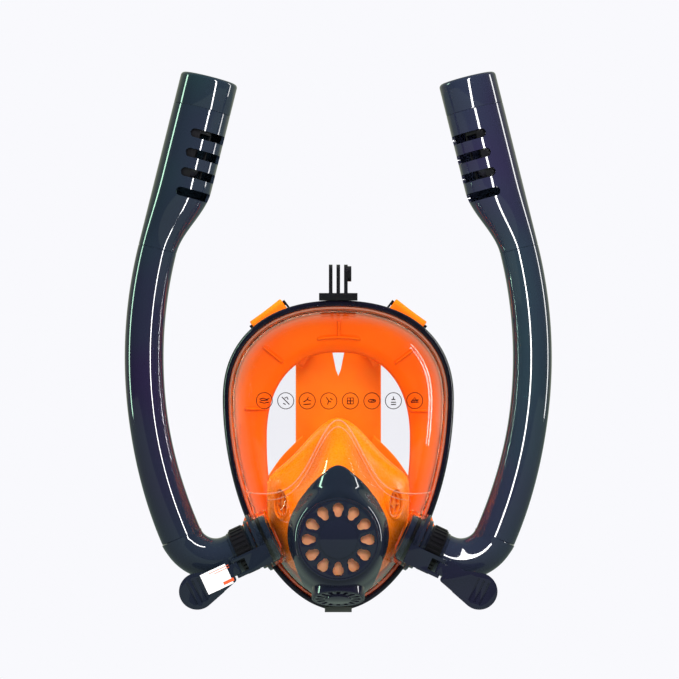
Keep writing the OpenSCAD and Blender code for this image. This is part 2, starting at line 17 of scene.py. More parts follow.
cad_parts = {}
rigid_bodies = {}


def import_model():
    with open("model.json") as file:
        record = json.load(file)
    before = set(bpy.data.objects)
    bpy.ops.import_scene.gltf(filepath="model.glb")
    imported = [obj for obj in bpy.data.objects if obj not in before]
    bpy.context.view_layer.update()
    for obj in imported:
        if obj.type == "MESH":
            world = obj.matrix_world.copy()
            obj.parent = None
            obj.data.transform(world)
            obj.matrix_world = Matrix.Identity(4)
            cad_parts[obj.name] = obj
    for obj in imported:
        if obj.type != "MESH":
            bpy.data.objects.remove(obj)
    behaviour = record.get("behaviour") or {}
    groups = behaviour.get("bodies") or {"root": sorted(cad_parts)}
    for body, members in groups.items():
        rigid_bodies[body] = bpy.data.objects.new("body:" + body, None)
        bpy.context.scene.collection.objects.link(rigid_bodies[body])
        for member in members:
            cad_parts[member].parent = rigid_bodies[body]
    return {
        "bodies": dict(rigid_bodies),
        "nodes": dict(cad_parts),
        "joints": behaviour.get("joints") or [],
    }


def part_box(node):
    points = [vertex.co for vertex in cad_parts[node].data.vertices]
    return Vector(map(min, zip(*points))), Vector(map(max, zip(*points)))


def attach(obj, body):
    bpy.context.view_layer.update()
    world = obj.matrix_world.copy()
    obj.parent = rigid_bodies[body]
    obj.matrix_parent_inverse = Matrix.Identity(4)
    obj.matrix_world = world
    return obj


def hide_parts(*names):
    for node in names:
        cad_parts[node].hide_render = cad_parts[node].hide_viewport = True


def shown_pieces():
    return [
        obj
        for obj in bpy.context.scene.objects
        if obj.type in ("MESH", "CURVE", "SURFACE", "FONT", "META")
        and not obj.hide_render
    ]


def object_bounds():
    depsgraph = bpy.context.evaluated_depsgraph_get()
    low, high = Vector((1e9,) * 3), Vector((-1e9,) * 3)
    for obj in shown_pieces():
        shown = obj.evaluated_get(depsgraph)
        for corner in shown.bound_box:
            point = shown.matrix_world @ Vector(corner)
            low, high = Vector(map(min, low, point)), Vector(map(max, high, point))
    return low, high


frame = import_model()
cad_low, cad_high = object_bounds()
NODES = frame["nodes"]
JOINTS = {j["name"]: j for j in frame["joints"]}
SIDES = (("left", -1), ("right", 1))
print("CAD box", [round(v, 4) for v in (*cad_low, *cad_high)])

# %% [markdown]
# ## The camera comes first
# The object is seen straight from the front with a long lens, so the sides stay parallel. The
# camera stands level with the middle of the object, and its lens is worked out so that the
# wanted width fills the frame at the depth of the snorkel tubes.

# %% Camera
CAMERA_DISTANCE = 2.4
VIEW_WIDTH = 0.5515
VIEW_CENTRE = Vector((0.0010, -0.045, 0.0946))
SENSOR = 36.0

camera_data = bpy.data.cameras.new("Camera")
camera_data.sensor_width = SENSOR
camera_data.lens = SENSOR * CAMERA_DISTANCE / VIEW_WIDTH
camera = bpy.data.objects.new("Camera", camera_data)
bpy.context.scene.collection.objects.link(camera)
camera.location = VIEW_CENTRE - Vector((0, CAMERA_DISTANCE, 0))
camera.rotation_euler = (math.radians(90), 0, 0)
bpy.context.scene.camera = camera
bpy.context.scene.view_settings.view_transform = "Standard"
print("lens", round(camera_data.lens, 1), "mm")

# %% [markdown]
# ## Small tools for shader trees
# A colour is written as an sRGB hex value and turned to linear here. One helper adds a node,
# sets its sockets and joins it to others: a tuple of (node, output name) is a link.

# %% Shader tools
def colour(text, alpha=1.0):
    channels = [int(text[i:i + 2], 16) / 255 for i in (1, 3, 5)]
    linear = [c / 12.92 if c <= 0.04045 else ((c + 0.055) / 1.055) ** 2.4 for c in channels]
    return (*linear, alpha)


def add(tree, kind, settings=None, **sockets):
    node = tree.nodes.new(kind)
    for name, value in (settings or {}).items():
        setattr(node, name, value)
    for name, value in sockets.items():
        socket = node.inputs[name.replace("_", " ")]
        if isinstance(value, tuple) and isinstance(value[0], bpy.types.Node):
            tree.links.new(value[0].outputs[value[1]], socket)
        else:
            socket.default_value = value
    return node


def new_material(name):
    made = bpy.data.materials.new(name)
    made.use_nodes = True
    made.node_tree.nodes.clear()
    return made, made.node_tree


def finish_material(tree, shader, output="BSDF"):
    add(tree, "ShaderNodeOutputMaterial", Surface=(shader, output))


def spread(tree, scale, low, high, detail=3.0, stretch=(1, 1, 1)):
    """Noise on the piece's own place, mapped to a range of values."""
    place = add(tree, "ShaderNodeTexCoord")
    turned = add(tree, "ShaderNodeMapping", Vector=(place, "Object"), Scale=stretch)
    noise = add(tree, "ShaderNodeTexNoise", Vector=(turned, "Vector"), Scale=scale, Detail=detail)
    spread_out = add(tree, "ShaderNodeMapRange", Value=(noise, "Fac"), From_Min=0.3, From_Max=0.7,
                     To_Min=low, To_Max=high)
    return noise, spread_out


def mixed(tree, factor, first, second):
    node = add(tree, "ShaderNodeMix", {"data_type": "RGBA"})
    tree.links.new(factor[0].outputs[factor[1]], node.inputs[0])
    node.inputs[6].default_value = first
    node.inputs[7].default_value = second
    return node


def moulded(name, base, second, roughness, grain, bump, subsurface=0.0, coat=0.0, clouds=30.0,
            specular=0.5, sheen=0.0):
    """A moulded plastic or rubber: two close colours in soft clouds, fine grain in the gloss."""
    made, tree = new_material(name)
    _, share = spread(tree, clouds, 0.0, 1.0)
    tint = mixed(tree, (share, "Result"), colour(base), colour(second))
    grains, gloss = spread(tree, grain, roughness * 0.8, roughness * 1.25, 2.0)
    bumps = add(tree, "ShaderNodeBump", Height=(grains, "Fac"), Strength=bump, Distance=0.0002)
    shader = add(tree, "ShaderNodeBsdfPrincipled", Roughness=(gloss, "Result"),
                 Normal=(bumps, "Normal"))
    tree.links.new(tint.outputs[2], shader.inputs["Base Color"])
    shader.inputs["Specular IOR Level"].default_value = specular
    shader.inputs["Coat Weight"].default_value = coat
    shader.inputs["Coat Roughness"].default_value = 0.04
    shader.inputs["Sheen Weight"].default_value = sheen
    if subsurface:
        shader.inputs["Subsurface Weight"].default_value = subsurface
        shader.inputs["Subsurface Radius"].default_value = (0.006, 0.0022, 0.0008)
        shader.inputs["Subsurface Scale"].default_value = 1.0
    finish_material(tree, shader)
    return made


# %% [markdown]
# ## The finishes
# High-gloss ABS is polished in the mould, so it mirrors long light strips and its colour shows
# only between them, here a black with a trace of violet. Liquid silicone is bright, slightly
# translucent and has a soft, broad highlight. Polycarbonate is clear with a sharp reflection.

# %% Materials
abs_gloss = moulded("abs_black_polished_mould", "#1b142c", "#17252a", 0.06, 900, 0.015, coat=0.4,
                    clouds=6)
abs_rim = moulded("abs_black_rim_moulded", "#0c0b14", "#131220", 0.12, 1200, 0.03)
abs_satin = moulded("abs_black_spark_eroded", "#0e0e12", "#17171b", 0.34, 2600, 0.25)
abs_inner = moulded("abs_black_plain_moulded", "#1a1a1e", "#232328", 0.45, 2000, 0.2)
nylon_grey = moulded("nylon_grey_green_moulded", "#3c433d", "#4f5850", 0.4, 2200, 0.2)
silicone = moulded("silicone_orange_injection_moulded", "#ff6000", "#ff6c02", 0.45, 700, 0.08,
                   subsurface=0.05, clouds=22, specular=0.15)
silicone_pocket = moulded("silicone_orange_pocket_moulded", "#ff7402", "#ff8408", 0.28, 700, 0.08,
                          subsurface=0.08, clouds=26, specular=0.4)
silicone_strap = moulded("silicone_orange_strap_moulded", "#ff7004", "#ff7e0c", 0.42, 900, 0.12,
                         subsurface=0.06, clouds=40, specular=0.25)
# The flaps' colour is lighter than their silicone's own: painted light for the slots of the grilles,
# which lie in shade.
flap_silicone_painted_light = moulded("silicone_flap_thin_moulded", "#ff9a68", "#ffb48a", 0.4, 900, 0.1,
                        subsurface=0.3)
nitrile = moulded("nitrile_black_moulded", "#0c0c0c", "#151515", 0.5, 1500, 0.2)
float_pp = moulded("polypropylene_float_moulded", "#2c2c34", "#3c3c46", 0.3, 900, 0.1)
vinyl = moulded("vinyl_white_printed_sticker", "#f2f2f2", "#fbfbfb", 0.35, 1500, 0.03)
vinyl_bar = moulded("vinyl_orange_print", "#e2552a", "#ea6234", 0.35, 1500, 0.03)
ink = moulded("ink_dark_pad_printed", "#16060c", "#220c14", 0.5, 2000, 0.05, specular=0.1)


def brushed_steel():
    # Stainless steel, turned: fine rings along the piece break up a bright reflection.
    made, tree = new_material("stainless_steel_turned")
    _, gloss = spread(tree, 1500, 0.22, 0.38, 2.0, (1, 0.05, 0.05))
    shader = add(tree, "ShaderNodeBsdfPrincipled", Roughness=(gloss, "Result"), Metallic=1.0,
                 Base_Color=colour("#c8c8c6"))
    finish_material(tree, shader)
    return made


def clear_polycarbonate():
    # Polycarbonate, moulded and polished: thin and even, so it hardly bends light and its gloss
    # sits on top like a coat. Shadow rays pass straight through, as they do in a thin wall.
    made, tree = new_material("polycarbonate_clear_moulded")
    ripple, gloss = spread(tree, 60, 0.0, 0.02, 2.0)
    bumps = add(tree, "ShaderNodeBump", Height=(ripple, "Fac"), Strength=0.01, Distance=0.0004)
    shader = add(tree, "ShaderNodeBsdfPrincipled", Roughness=(gloss, "Result"),
                 Normal=(bumps, "Normal"), Base_Color=colour("#fdfdff"), IOR=1.04)
    shader.inputs["Transmission Weight"].default_value = 1.0
    shader.inputs["Coat Weight"].default_value = 1.0
    shader.inputs["Coat Roughness"].default_value = 0.02
    shader.inputs["Coat IOR"].default_value = 1.5
    tree.links.new(bumps.outputs["Normal"], shader.inputs["Coat Normal"])
    through = add(tree, "ShaderNodeBsdfTransparent", Color=(0.93, 0.93, 0.94, 1))
    ray = add(tree, "ShaderNodeLightPath")
    both = add(tree, "ShaderNodeMixShader")
    tree.links.new(ray.outputs["Is Shadow Ray"], both.inputs[0])
    tree.links.new(shader.outputs[0], both.inputs[1])
    tree.links.new(through.outputs[0], both.inputs[2])
    finish_material(tree, both, "Shader")
    return made


def pale_bead_highlight_material():
    # The beads of the lens: a pale pinkish white, half clear. They sit on the real crease and edge of
    # the lens, and their pale colour is a painted highlight for the lines of light those edges catch.
    made, tree = new_material("polycarbonate_bead_moulded")
    _, gloss = spread(tree, 500, 0.12, 0.22, 2.0)
    shader = add(tree, "ShaderNodeBsdfPrincipled", Roughness=(gloss, "Result"),
                 Base_Color=colour("#ffd2b4"), IOR=1.15)
    shader.inputs["Transmission Weight"].default_value = 0.75
    finish_material(tree, shader)
    return made


steel = brushed_steel()
clear = clear_polycarbonate()
bead_painted_highlight = pale_bead_highlight_material()
print(len(bpy.data.materials), "materials")

# %% [markdown]
# ## Mesh tools
# Most moulded parts here are skins: rings of points joined into a grid. `skin` closes such a
# list of rings with a fan at each end, or joins the last ring to the first. Everything is made
# where it belongs, so no finished object is ever moved.

# %% Mesh tools
def piece(name, points, faces, material, body, replaces=(), sharp=35.0):
    mesh = bpy.data.meshes.new(name)
    mesh.from_pydata([tuple(p) for p in points], [], faces)
    return finished(mesh, name, material, body, replaces, sharp)


def finished(mesh, name, material, body, replaces=(), sharp=35.0):
    mesh.validate()
    mesh.polygons.foreach_set("use_smooth", [True] * len(mesh.polygons))
    mesh.set_sharp_from_angle(angle=math.radians(sharp))
    mesh.materials.clear()
    mesh.materials.append(material)
    made = bpy.data.objects.new(name, mesh)
    bpy.context.scene.collection.objects.link(made)
    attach(made, body)
    if replaces:
        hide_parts(*replaces)
    return made


def skin(rings, joined=False):
    """Points and faces of a grid over equal rings, closed by fans or joined end to start."""
    rings = [np.asarray(r, float) for r in rings]
    n, m = len(rings[0]), len(rings)
    points = np.concatenate(rings)
    faces = []
    for j in range(m if joined else m - 1):
        a, b = j * n, (j + 1) % m * n
        faces += [(a + i, b + i, b + (i + 1) % n, a + (i + 1) % n) for i in range(n)]
    if not joined:
        points = np.concatenate([points, [rings[0].mean(0)], [rings[-1].mean(0)]])
        first, last = m * n, m * n + 1
        faces += [(first, i, (i + 1) % n) for i in range(n)]
        faces += [(last, (m - 1) * n + (i + 1) % n, (m - 1) * n + i) for i in range(n)]
    return points, faces


def smoothstep(x):
    x = np.clip(x, 0, 1)
    return x * x * (3 - 2 * x)


def curve_through(points, count, closed=False):
    """Points along a smooth Catmull-Rom line through the given ones."""
    p = np.asarray(points, float)
    p = np.vstack([p[-1:], p, p[:2]]) if closed else np.vstack([2 * p[0] - p[1], p, 2 * p[-1] - p[-2]])
    spans = len(p) - 3
    out = []
    for s in np.linspace(0, spans, count, endpoint=not closed):
        k = min(int(s), spans - 1)
        u = s - k
        a, b, c, d = p[k:k + 4]
        out.append(0.5 * (2 * b + (c - a) * u + (2 * a - 5 * b + 4 * c - d) * u ** 2
                          + (3 * b - a - 3 * c + d) * u ** 3))
    return np.array(out)


def place_of(origin, along, right):
    """A matrix whose Z runs along one direction and X along another."""
    z = Vector(along).normalized()
    y = z.cross(Vector(right)).normalized()
    made = Matrix((y.cross(z), y, z)).transposed().to_4x4()
    made.translation = Vector(origin)
    return made


def turned(points, matrix):
    m = np.array(matrix)
    return np.asarray(points) @ m[:3, :3].T + m[:3, 3]


def lathe(name, profile, matrix, material, body, replaces=(), steps=96, sharp=35.0):
    """A closed profile of (radius, height) spun about the matrix's Z."""
    rings = []
    for r, h in profile:
        t = np.linspace(0, 2 * math.pi, steps, endpoint=False)
        rings.append(turned(np.c_[r * np.cos(t), r * np.sin(t), np.full(steps, h)], matrix))
    points, faces = skin(rings, joined=True)
    made = piece(name, points, faces, material, body, replaces, sharp)
    outward(made.data)
    return made


def outward(mesh):
    shape = bmesh.new()
    shape.from_mesh(mesh)
    bmesh.ops.recalc_face_normals(shape, faces=shape.faces)
    shape.to_mesh(mesh)
    shape.free()


print("mesh tools ready")

# %% [markdown]
# ## Finishing a design part
# A part that keeps the design's shape is merged, its flat areas are joined and its edges get a
# small bevel, which is what catches the light on a real moulding.

# %% Refining
def refined(node, material, name=None, bevel=0.0004, also=(), flat=1.0):
    """A copy of a design part, merged and with its edges broken, which then stands for it."""
    source = NODES[node]
    shape = bmesh.new()
    shape.from_mesh(source.data)
    bmesh.ops.remove_doubles(shape, verts=shape.verts, dist=2e-6)
    bmesh.ops.dissolve_limit(shape, angle_limit=math.radians(flat), verts=shape.verts,
                             edges=shape.edges, delimit={"NORMAL"})
    mesh = bpy.data.meshes.new(name or node + "_shape")
    shape.to_mesh(mesh)
    shape.free()
    body = next(b for b, e in frame["bodies"].items() if source.parent == e)
    made = finished(mesh, mesh.name, material, body, (node, *also))
    if bevel:
        edge = made.modifiers.new("edge", "BEVEL")
        edge.width = bevel
        edge.segments = 2
        edge.limit_method = "ANGLE"
        edge.angle_limit = math.radians(40)
        edge.use_clamp_overlap = True
        edge.harden_normals = False
        shown = made.evaluated_get(bpy.context.evaluated_depsgraph_get())
        made.data = bpy.data.meshes.new_from_object(shown)
        made.modifiers.clear()
        made.data.set_sharp_from_angle(angle=math.radians(50))
    return made


# %% [markdown]
# ## The mould's formula
# The rim is a squared oval, rounder above its widest line than below. The lens follows it: a
# flat brow, then a crease that climbs from the cheeks over the nose, and below it the muzzle
# swells forward. The sizes come from the frame's own boxes; the shares are the design's.

# %% The outline and the depth of the mask
rim_low, rim_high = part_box("frame")
SEAL_Y = -0.028                     # plane of the rim, from the face seal
HALF_W = rim_high.x
MID_Z = 0.045
RISE = rim_high.z - MID_Z
DROP = MID_Z - rim_low.z
SWEEP = 0.024
SWEEP_POWER = 2.2
UPPER_POWER, LOWER_POWER = 2.25, 1.88
FLANGE_Y = 0.0046
LENS_INSET = 0.0073
LENS_WALL = 0.0022
TURNS = 240


def bent(v, p):
    return np.sign(v) * np.abs(v) ** p


def rim_point(t, inset=0.0):
    up = np.sin(t) >= 0
    b = np.where(up, RISE, DROP)
    n = np.where(up, UPPER_POWER, LOWER_POWER)
    x = (HALF_W - inset) * bent(np.cos(t), 2 / n)
    return x, MID_Z + (b - inset) * bent(np.sin(t), 2 / n)


def swept(x):
    return SWEEP * (np.abs(x) / HALF_W) ** SWEEP_POWER


def share_out(x, z, inset):
    up = z >= MID_Z
    b = np.where(up, RISE, DROP)
    n = np.where(up, UPPER_POWER, LOWER_POWER)
    s = (np.abs(x) / (HALF_W - inset)) ** n + (np.abs(z - MID_Z) / (b - inset)) ** n
    return np.minimum(1, s ** (1 / n))


def crease_z(x):
    return -0.030 + 0.060 * np.exp(-(x / 0.026) ** 2)


def muzzle(x, z):
    below = crease_z(x) - z
    below = 0.5 * (below + np.sqrt(below ** 2 + 0.0025 ** 2))
    across = 0.22 + 0.78 * np.exp(-(np.abs(x) / 0.046) ** 4)
    return 0.045 * across * (1 - np.exp(-below / 0.035))


def lens_y(x, z, into=0.0):
    wall = np.maximum(0, 1 - share_out(x, z, LENS_INSET + into) ** 12) ** 0.6
    brow = 0.046 - 0.008 * (x / HALF_W) ** 2
    return SEAL_Y + swept(x) - FLANGE_Y + into - (brow + muzzle(x, z)) * wall


ANGLES = np.linspace(0, 2 * math.pi, TURNS, endpoint=False)


def rim_ring(inset, y):
    x, z = rim_point(ANGLES, inset)
    return np.c_[x, SEAL_Y + swept(x) + y, z]


def lens_ring(share, into):
    x, z = rim_point(ANGLES, LENS_INSET + into)
    x, z = share * x, MID_Z + share * (z - MID_Z)
    return np.c_[x, lens_y(x, z, into), z]


def rounded(profile, radius, steps=4):
    """A closed profile with each corner rounded by a short arc."""
    p = np.asarray(profile, float)
    out = []
    for k in range(len(p)):
        before, here, after = p[k - 1], p[k], p[(k + 1) % len(p)]
        a, b = before - here, after - here
        reach = min(radius, 0.45 * np.linalg.norm(a), 0.45 * np.linalg.norm(b))
        a, b = here + a / np.linalg.norm(a) * reach, here + b / np.linalg.norm(b) * reach
        for u in np.linspace(0, 1, steps):
            out.append((1 - u) ** 2 * a + 2 * u * (1 - u) * here + u * u * b)
    return np.array(out)


print("rim", round(2 * HALF_W, 4), "wide,", round(RISE + DROP, 4), "high")

# %% [markdown]
# ## Ports and heads
# A joint already knows where its port stands and which way it points, so the places come
# from the joints and are never typed twice.

# %% Places and directions of the ports, heads and valves, from the joints
PORT = {}
HEAD = {}
for side, sign in SIDES:
    joint = JOINTS[f"snorkel_swivel_{side}"]
    out = Vector(joint["axis"]) * (1 if side == "left" else -1)
    PORT[side] = place_of(joint["pos_m"], out, out.cross(Vector((0, -sign, 0))))
    HEAD[side] = Vector(JOINTS[f"float_rise_{side}"]["axis"])
print({s: [round(v, 4) for v in PORT[s].translation] for s in PORT})

# %% [markdown]
# ## Rim, lens and skirt
# The rim is one glossy hoop with a lip over the lens's edge. The lens is a closed skin 2.2 mm
# thick; holes for the exhaust, the drain and the two ports are cut through it with short
# cylinders. The skirt is a hoop of silicone from the rim back to the face opening.

# %% Rim
def rim():
    profile = rounded([(0.0050, -0.0066), (0.0040, -0.0080), (0.0014, -0.0080), (0, -0.0064),
                       (0, 0.0065), (0.0008, 0.008), (0.0026, 0.008), (0.0026, -0.0048),
                       (0.0050, -0.0048)], 0.0009)
    points, faces = skin([rim_ring(i, y) for i, y in profile], joined=True)
    made = piece("rim_shape", points, faces, abs_rim, "mask", ("frame",), 60)
    outward(made.data)
    return made


rim_piece = rim()
print("rim", len(rim_piece.data.polygons), "faces")

# %% [markdown]
# ## Holes
# A hole through a moulding is a boolean with a closed cylinder. The grilles' places are
# named here, because lens, pocket and cover are all cut or built round them.

# %% Cutting a hole with a cylinder
GRILLE_Z = 0.5 * (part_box("front_grille")[0].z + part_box("front_grille")[1].z)
GRILLE_R = 0.5 * (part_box("front_grille")[1].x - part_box("front_grille")[0].x)
GRILLE_Y = -0.1255
GRILLE = place_of((0, GRILLE_Y, GRILLE_Z), (0, -1, 0), (1, 0, 0))
DRAIN_R = 0.5 * (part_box("drain_grille")[1].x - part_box("drain_grille")[0].x)
DRAIN = place_of((0, -0.096, -0.1116), JOINTS["drain_lift"]["axis"], (1, 0, 0))


def take_away(made, points, faces):
    """Takes one closed shape out of a piece with an exact boolean."""
    mesh = bpy.data.meshes.new("cutter")
    mesh.from_pydata([tuple(p) for p in points], [], faces)
    outward(mesh)
    tool = bpy.data.objects.new("cutter", mesh)
    bpy.context.scene.collection.objects.link(tool)
    hole = made.modifiers.new("hole", "BOOLEAN")
    hole.object = tool
    hole.solver = "EXACT"
    shown = made.evaluated_get(bpy.context.evaluated_depsgraph_get())
    made.data = bpy.data.meshes.new_from_object(shown)
    made.modifiers.clear()
    bpy.data.objects.remove(tool)


def cut(made, cutters):
    """Cuts cylinders, each (matrix, radius, from, to), out of a closed piece."""
    steps = 96
    t = np.linspace(0, 2 * math.pi, steps, endpoint=False)
    for matrix, radius, low, high in cutters:
        rings = [turned(np.c_[radius * np.cos(t), radius * np.sin(t), np.full(steps, h)], matrix)
                 for h in (low, high)]
        points, faces = skin(rings)
        take_away(made, points, faces)
    made.data.set_sharp_from_angle(angle=math.radians(35))


# %% [markdown]
# ## The lens
# The lens is a skin over an outside and an inside, a wall apart. Rings lie closer near the
# edge, where it turns down steeply to the rim.

# %% Lens
LENS_SHARES = np.concatenate([np.linspace(0.02, 0.9, 62), 1 - 0.1 * np.linspace(1, 0, 22)[1:] ** 2])


def lens():
    outside = [lens_ring(s, 0) for s in LENS_SHARES]
    edge = [rim_ring(0.003, -FLANGE_Y), rim_ring(0.003, LENS_WALL - FLANGE_Y)]
    inside = [lens_ring(s, LENS_WALL) for s in LENS_SHARES[::-1]]
    points, faces = skin(outside + edge + inside)
    made = piece("visor", points, faces, clear, "mask", ("lens",), 35)
    outward(made.data)
    cut(made, [(GRILLE, GRILLE_R + 0.0019, -0.04, 0.02), (DRAIN, DRAIN_R + 0.0019, -0.03, 0.02),
               *[(PORT[s], 0.0225, -0.018, 0.03) for s, _ in SIDES],
               *[(PORT[s], 0.0249, -0.0038, 0.03) for s, _ in SIDES]])
    return made


visor = lens()
print("lens", len(visor.data.polygons), "faces")

# %% [markdown]
# ## Beads on the lens
# A clear moulding shows itself by its edges. Thin beads run along the real crease and round the rim,
# and their pale colour is a painted highlight for the lines of light a real lens's thick edge catches.

# %% Beads of the lens: one round its edge and two along the crease over the nose
def bead_line(name, centres, radius, sides=10):
    centres = np.asarray(centres, float)
    runs = np.gradient(centres, axis=0)
    runs /= np.linalg.norm(runs, axis=1)[:, None]
    up = np.cross(runs, (0, 1, 0))
    up /= np.linalg.norm(up, axis=1)[:, None]
    over = np.cross(up, runs)
    rings = []
    for k in range(len(centres)):
        share = k / (len(centres) - 1)
        r = radius * math.sqrt(max(0.02, 1 - (2 * share - 1) ** 10))
        rings.append([centres[k] + r * (math.cos(a) * up[k] + math.sin(a) * over[k])
                      for a in np.linspace(0, 2 * math.pi, sides, endpoint=False)])
    points, faces = skin(rings)
    # Each bead is pale: a painted highlight line.
    made = piece(name, points, faces, bead_painted_highlight, "mask", sharp=60)
    outward(made.data)


def crease_line(below, reach, radius, name):
    x = np.linspace(-reach, reach, 160)
    z = crease_z(x) - below
    bead_line(name, np.c_[x, lens_y(x, z) + 0.0001, z], radius)


# Two pale beads on the crease over the nose paint its highlight lines.
crease_line(0.0, 0.083, 0.0006, "lens_crease_upper")
crease_line(0.0052, 0.058, 0.0004, "lens_crease_lower")
# Round the rim, a pale bead just inside the black rim paints the highlight of the lens's edge wall.
edge_profile = rounded([(0.0053, -0.0047), (0.0053, -0.0058), (0.0069, -0.0058),
                        (0.0069, -0.0047)], 0.0006)
points, faces = skin([rim_ring(i, y) for i, y in edge_profile], joined=True)
edge_bead = piece("lens_edge_bead", points, faces, bead_painted_highlight, "mask", sharp=60)
outward(edge_bead.data)
print("beads on the lens")

# %% [markdown]
# ## The skirt
# The skirt's section is a closed loop of steps from the rim to the face opening. Each step
# is a share of the way inward and a depth, swept all round.

# %% Skirt
OPEN_W, OPEN_Z, OPEN_RISE, OPEN_DROP = 0.0595, 0.012, 0.072, 0.108
SKIRT_STEPS = [(1, 0.025), (0.985, 0.0215), (0.95, 0.0185), (0.8, 0.013), (0.62, 0.0098),
               (0.45, 0.007), (0.28, 0.0035), (0.14, -0.0012), (0.06, -0.0021), (0, -0.0022),
               (0, 0.002), (0, 0.006), (0.1, 0.009), (0.25, 0.011), (0.4, 0.013), (0.6, 0.0158),
               (0.75, 0.019), (0.86, 0.0228), (0.93, 0.026), (0.99, 0.0275), (1.005, 0.0268)]


def skirt_ring(share, y):
    x, z = rim_point(ANGLES, 0.0031)
    up = np.sin(ANGLES) >= 0
    ox = OPEN_W * bent(np.cos(ANGLES), 2 / 2.3)
    oz = OPEN_Z + np.where(up, OPEN_RISE, OPEN_DROP) * bent(np.sin(ANGLES), 2 / 2.3)
    x, z = x * (1 - share) + ox * share, z * (1 - share) + oz * share
    return np.c_[x, SEAL_Y + swept(x) + y, z]


def skirt():
    steps = curve_through(SKIRT_STEPS, 84, closed=True)
    points, faces = skin([skirt_ring(s, y) for s, y in steps], joined=True)
    made = piece("face_skirt", points, faces, silicone, "mask", ("skirt",), 60)
    outward(made.data)
    return made


face_skirt = skirt()
print("skirt", len(face_skirt.data.polygons), "faces")

# %% [markdown]
# ## Nose pocket and nose cover
# The pocket follows the lens's muzzle 8 mm inside it and then turns back to the face. The nose
# cover follows the same surface just outside, from a ring round the exhaust grille out to a
# diamond outline, and rises smoothly into the grille's bezel.

# %% Pocket
POCKET_W, POCKET_Z, POCKET_DROP = 0.057, -0.040, 0.068


def pocket_edge(grow):
    x = POCKET_W * np.cos(ANGLES)
    top = -0.014 + 0.043 * np.exp(-(x / 0.036) ** 2)
    side = np.abs(np.sin(ANGLES)) ** 0.25
    z = np.where(np.sin(ANGLES) >= 0, POCKET_Z + (top - POCKET_Z) * side,
                 POCKET_Z + POCKET_DROP * np.sin(ANGLES))
    return x * grow, POCKET_Z + (z - POCKET_Z) * grow


def pocket_ring(share, into):
    x, z = pocket_edge(1)
    x = share * x * (1 - into / POCKET_W)
    z = POCKET_Z + share * (z - POCKET_Z) * (1 - into / POCKET_DROP)
    foot = SEAL_Y - 0.008
    dome = math.sqrt(1 - share ** 5)
    return np.c_[x, foot + (lens_y(x, z) + 0.008 + into - foot) * dome, z]


def pocket_foot(grow, back):
    x, z = pocket_edge(grow)
    return np.c_[x, SEAL_Y - 0.008 + back * (0.013 + 1.6 * swept(x)), z]


def pocket():
    shares = np.concatenate([np.linspace(0.03, 0.85, 36), 1 - 0.13 * np.linspace(1, 0, 20) ** 2])
    outside = [pocket_ring(s, 0) for s in shares]
    outside += [pocket_foot(1 + 0.02 * g, b) for g, b in
                ((0.3, 0.015), (0.7, 0.06), (1, 0.2), (1, 0.97), (0.8, 1), (-0.8, 1), (-1.2, 0.97))]
    inside = [pocket_foot(0.974, b) for b in (0.3, 0.1)]
    inside += [pocket_ring(s, 0.002) for s in shares[::-1]]
    points, faces = skin(outside + inside)
    made = piece("nose_pocket_shape", points, faces, silicone_pocket, "mask", ("nose_pocket",),
                 60)
    outward(made.data)
    cutters = [(GRILLE, 0.0285, -0.04, 0.02), (DRAIN, DRAIN_R + 0.0024, -0.03, 0.02),
               *[(PORT[s], 0.0229, -0.0166, 0.03) for s, _ in SIDES]]
    for side, sign in SIDES:
        low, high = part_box(f"inhale_flap_{side}")
        face = place_of((low + high) / 2, -Vector(JOINTS[f"inhale_lift_{side}"]["axis"]), (0, 0, 1))
        cutters.append((face, 0.0111, -0.02, 0.02))
        collar = rounded([(0.0111, -0.003), (0.0130, -0.003), (0.0130, 0.005), (0.0111, 0.005)],
                         0.0008)
        lathe(f"valve_collar_{side}", collar, face, silicone_pocket, "mask")
    cut(made, cutters)
    return made


nose_pocket_piece = pocket()
print("pocket", len(nose_pocket_piece.data.polygons), "faces")

# %% [markdown]
# ## The nose cover
# The cover's outline is a reach for each direction from the grille, smoothed a little, and its
# surface stands just off the lens.

# %% Nose cover
COVER_REACH = [(-90, 57), (-76, 56), (-66, 52.5), (-56.6, 49), (-47, 44.6), (-29, 40),
               (-12, 40), (11, 40.8), (35.4, 41.5), (52.4, 43.9), (64.7, 47.5), (78, 52.6),
               (84, 56.4), (90, 58)]
BEZEL_R = GRILLE_R + 0.0016


def cover_edge():
    tilt = np.degrees(np.arcsin(np.sin(ANGLES)))
    angles, reach = np.array(COVER_REACH, float).T
    line = np.interp(tilt, angles, reach)
    for _ in range(3):
        line = (np.roll(line, 1) + 2 * line + np.roll(line, -1)) / 4
    return line / 1000


def cover_ring(share, lift):
    reach = BEZEL_R + share * (cover_edge() - BEZEL_R)
    x, z = reach * np.cos(ANGLES), GRILLE_Z + reach * np.sin(ANGLES)
    rise = 1 - smoothstep((reach - BEZEL_R) / 0.011)
    surface = lens_y(x, z) - lift
    bezel = GRILLE_Y + 0.0075 + (0.0032 - lift)
    return np.c_[x, surface + np.maximum(0, surface - bezel) * -0.75 * rise, z]


def cover():
    shares = np.linspace(0, 1, 30)
    outside = [cover_ring(s, 0.0032 if s < 0.97 else 0.0023) for s in shares]
    inside = [cover_ring(s, 0.0012) for s in shares[::-1]]
    points, faces = skin(outside + inside, joined=True)
    made = piece("nose_cover_shape", points, faces, abs_gloss, "mask", ("nose_cover",),
                 50)
    outward(made.data)
    return made


nose_cover_piece = cover()


def bezel(name, matrix, radius, wall, depth, lip):
    profile = rounded([(radius + 0.0001, 0), (radius + wall, 0), (radius + wall + lip, -depth * 0.4),
                       (radius + wall + lip, -depth), (radius + 0.0001, -depth)], 0.0006)
    return lathe(name, profile, matrix, abs_gloss, "mask")


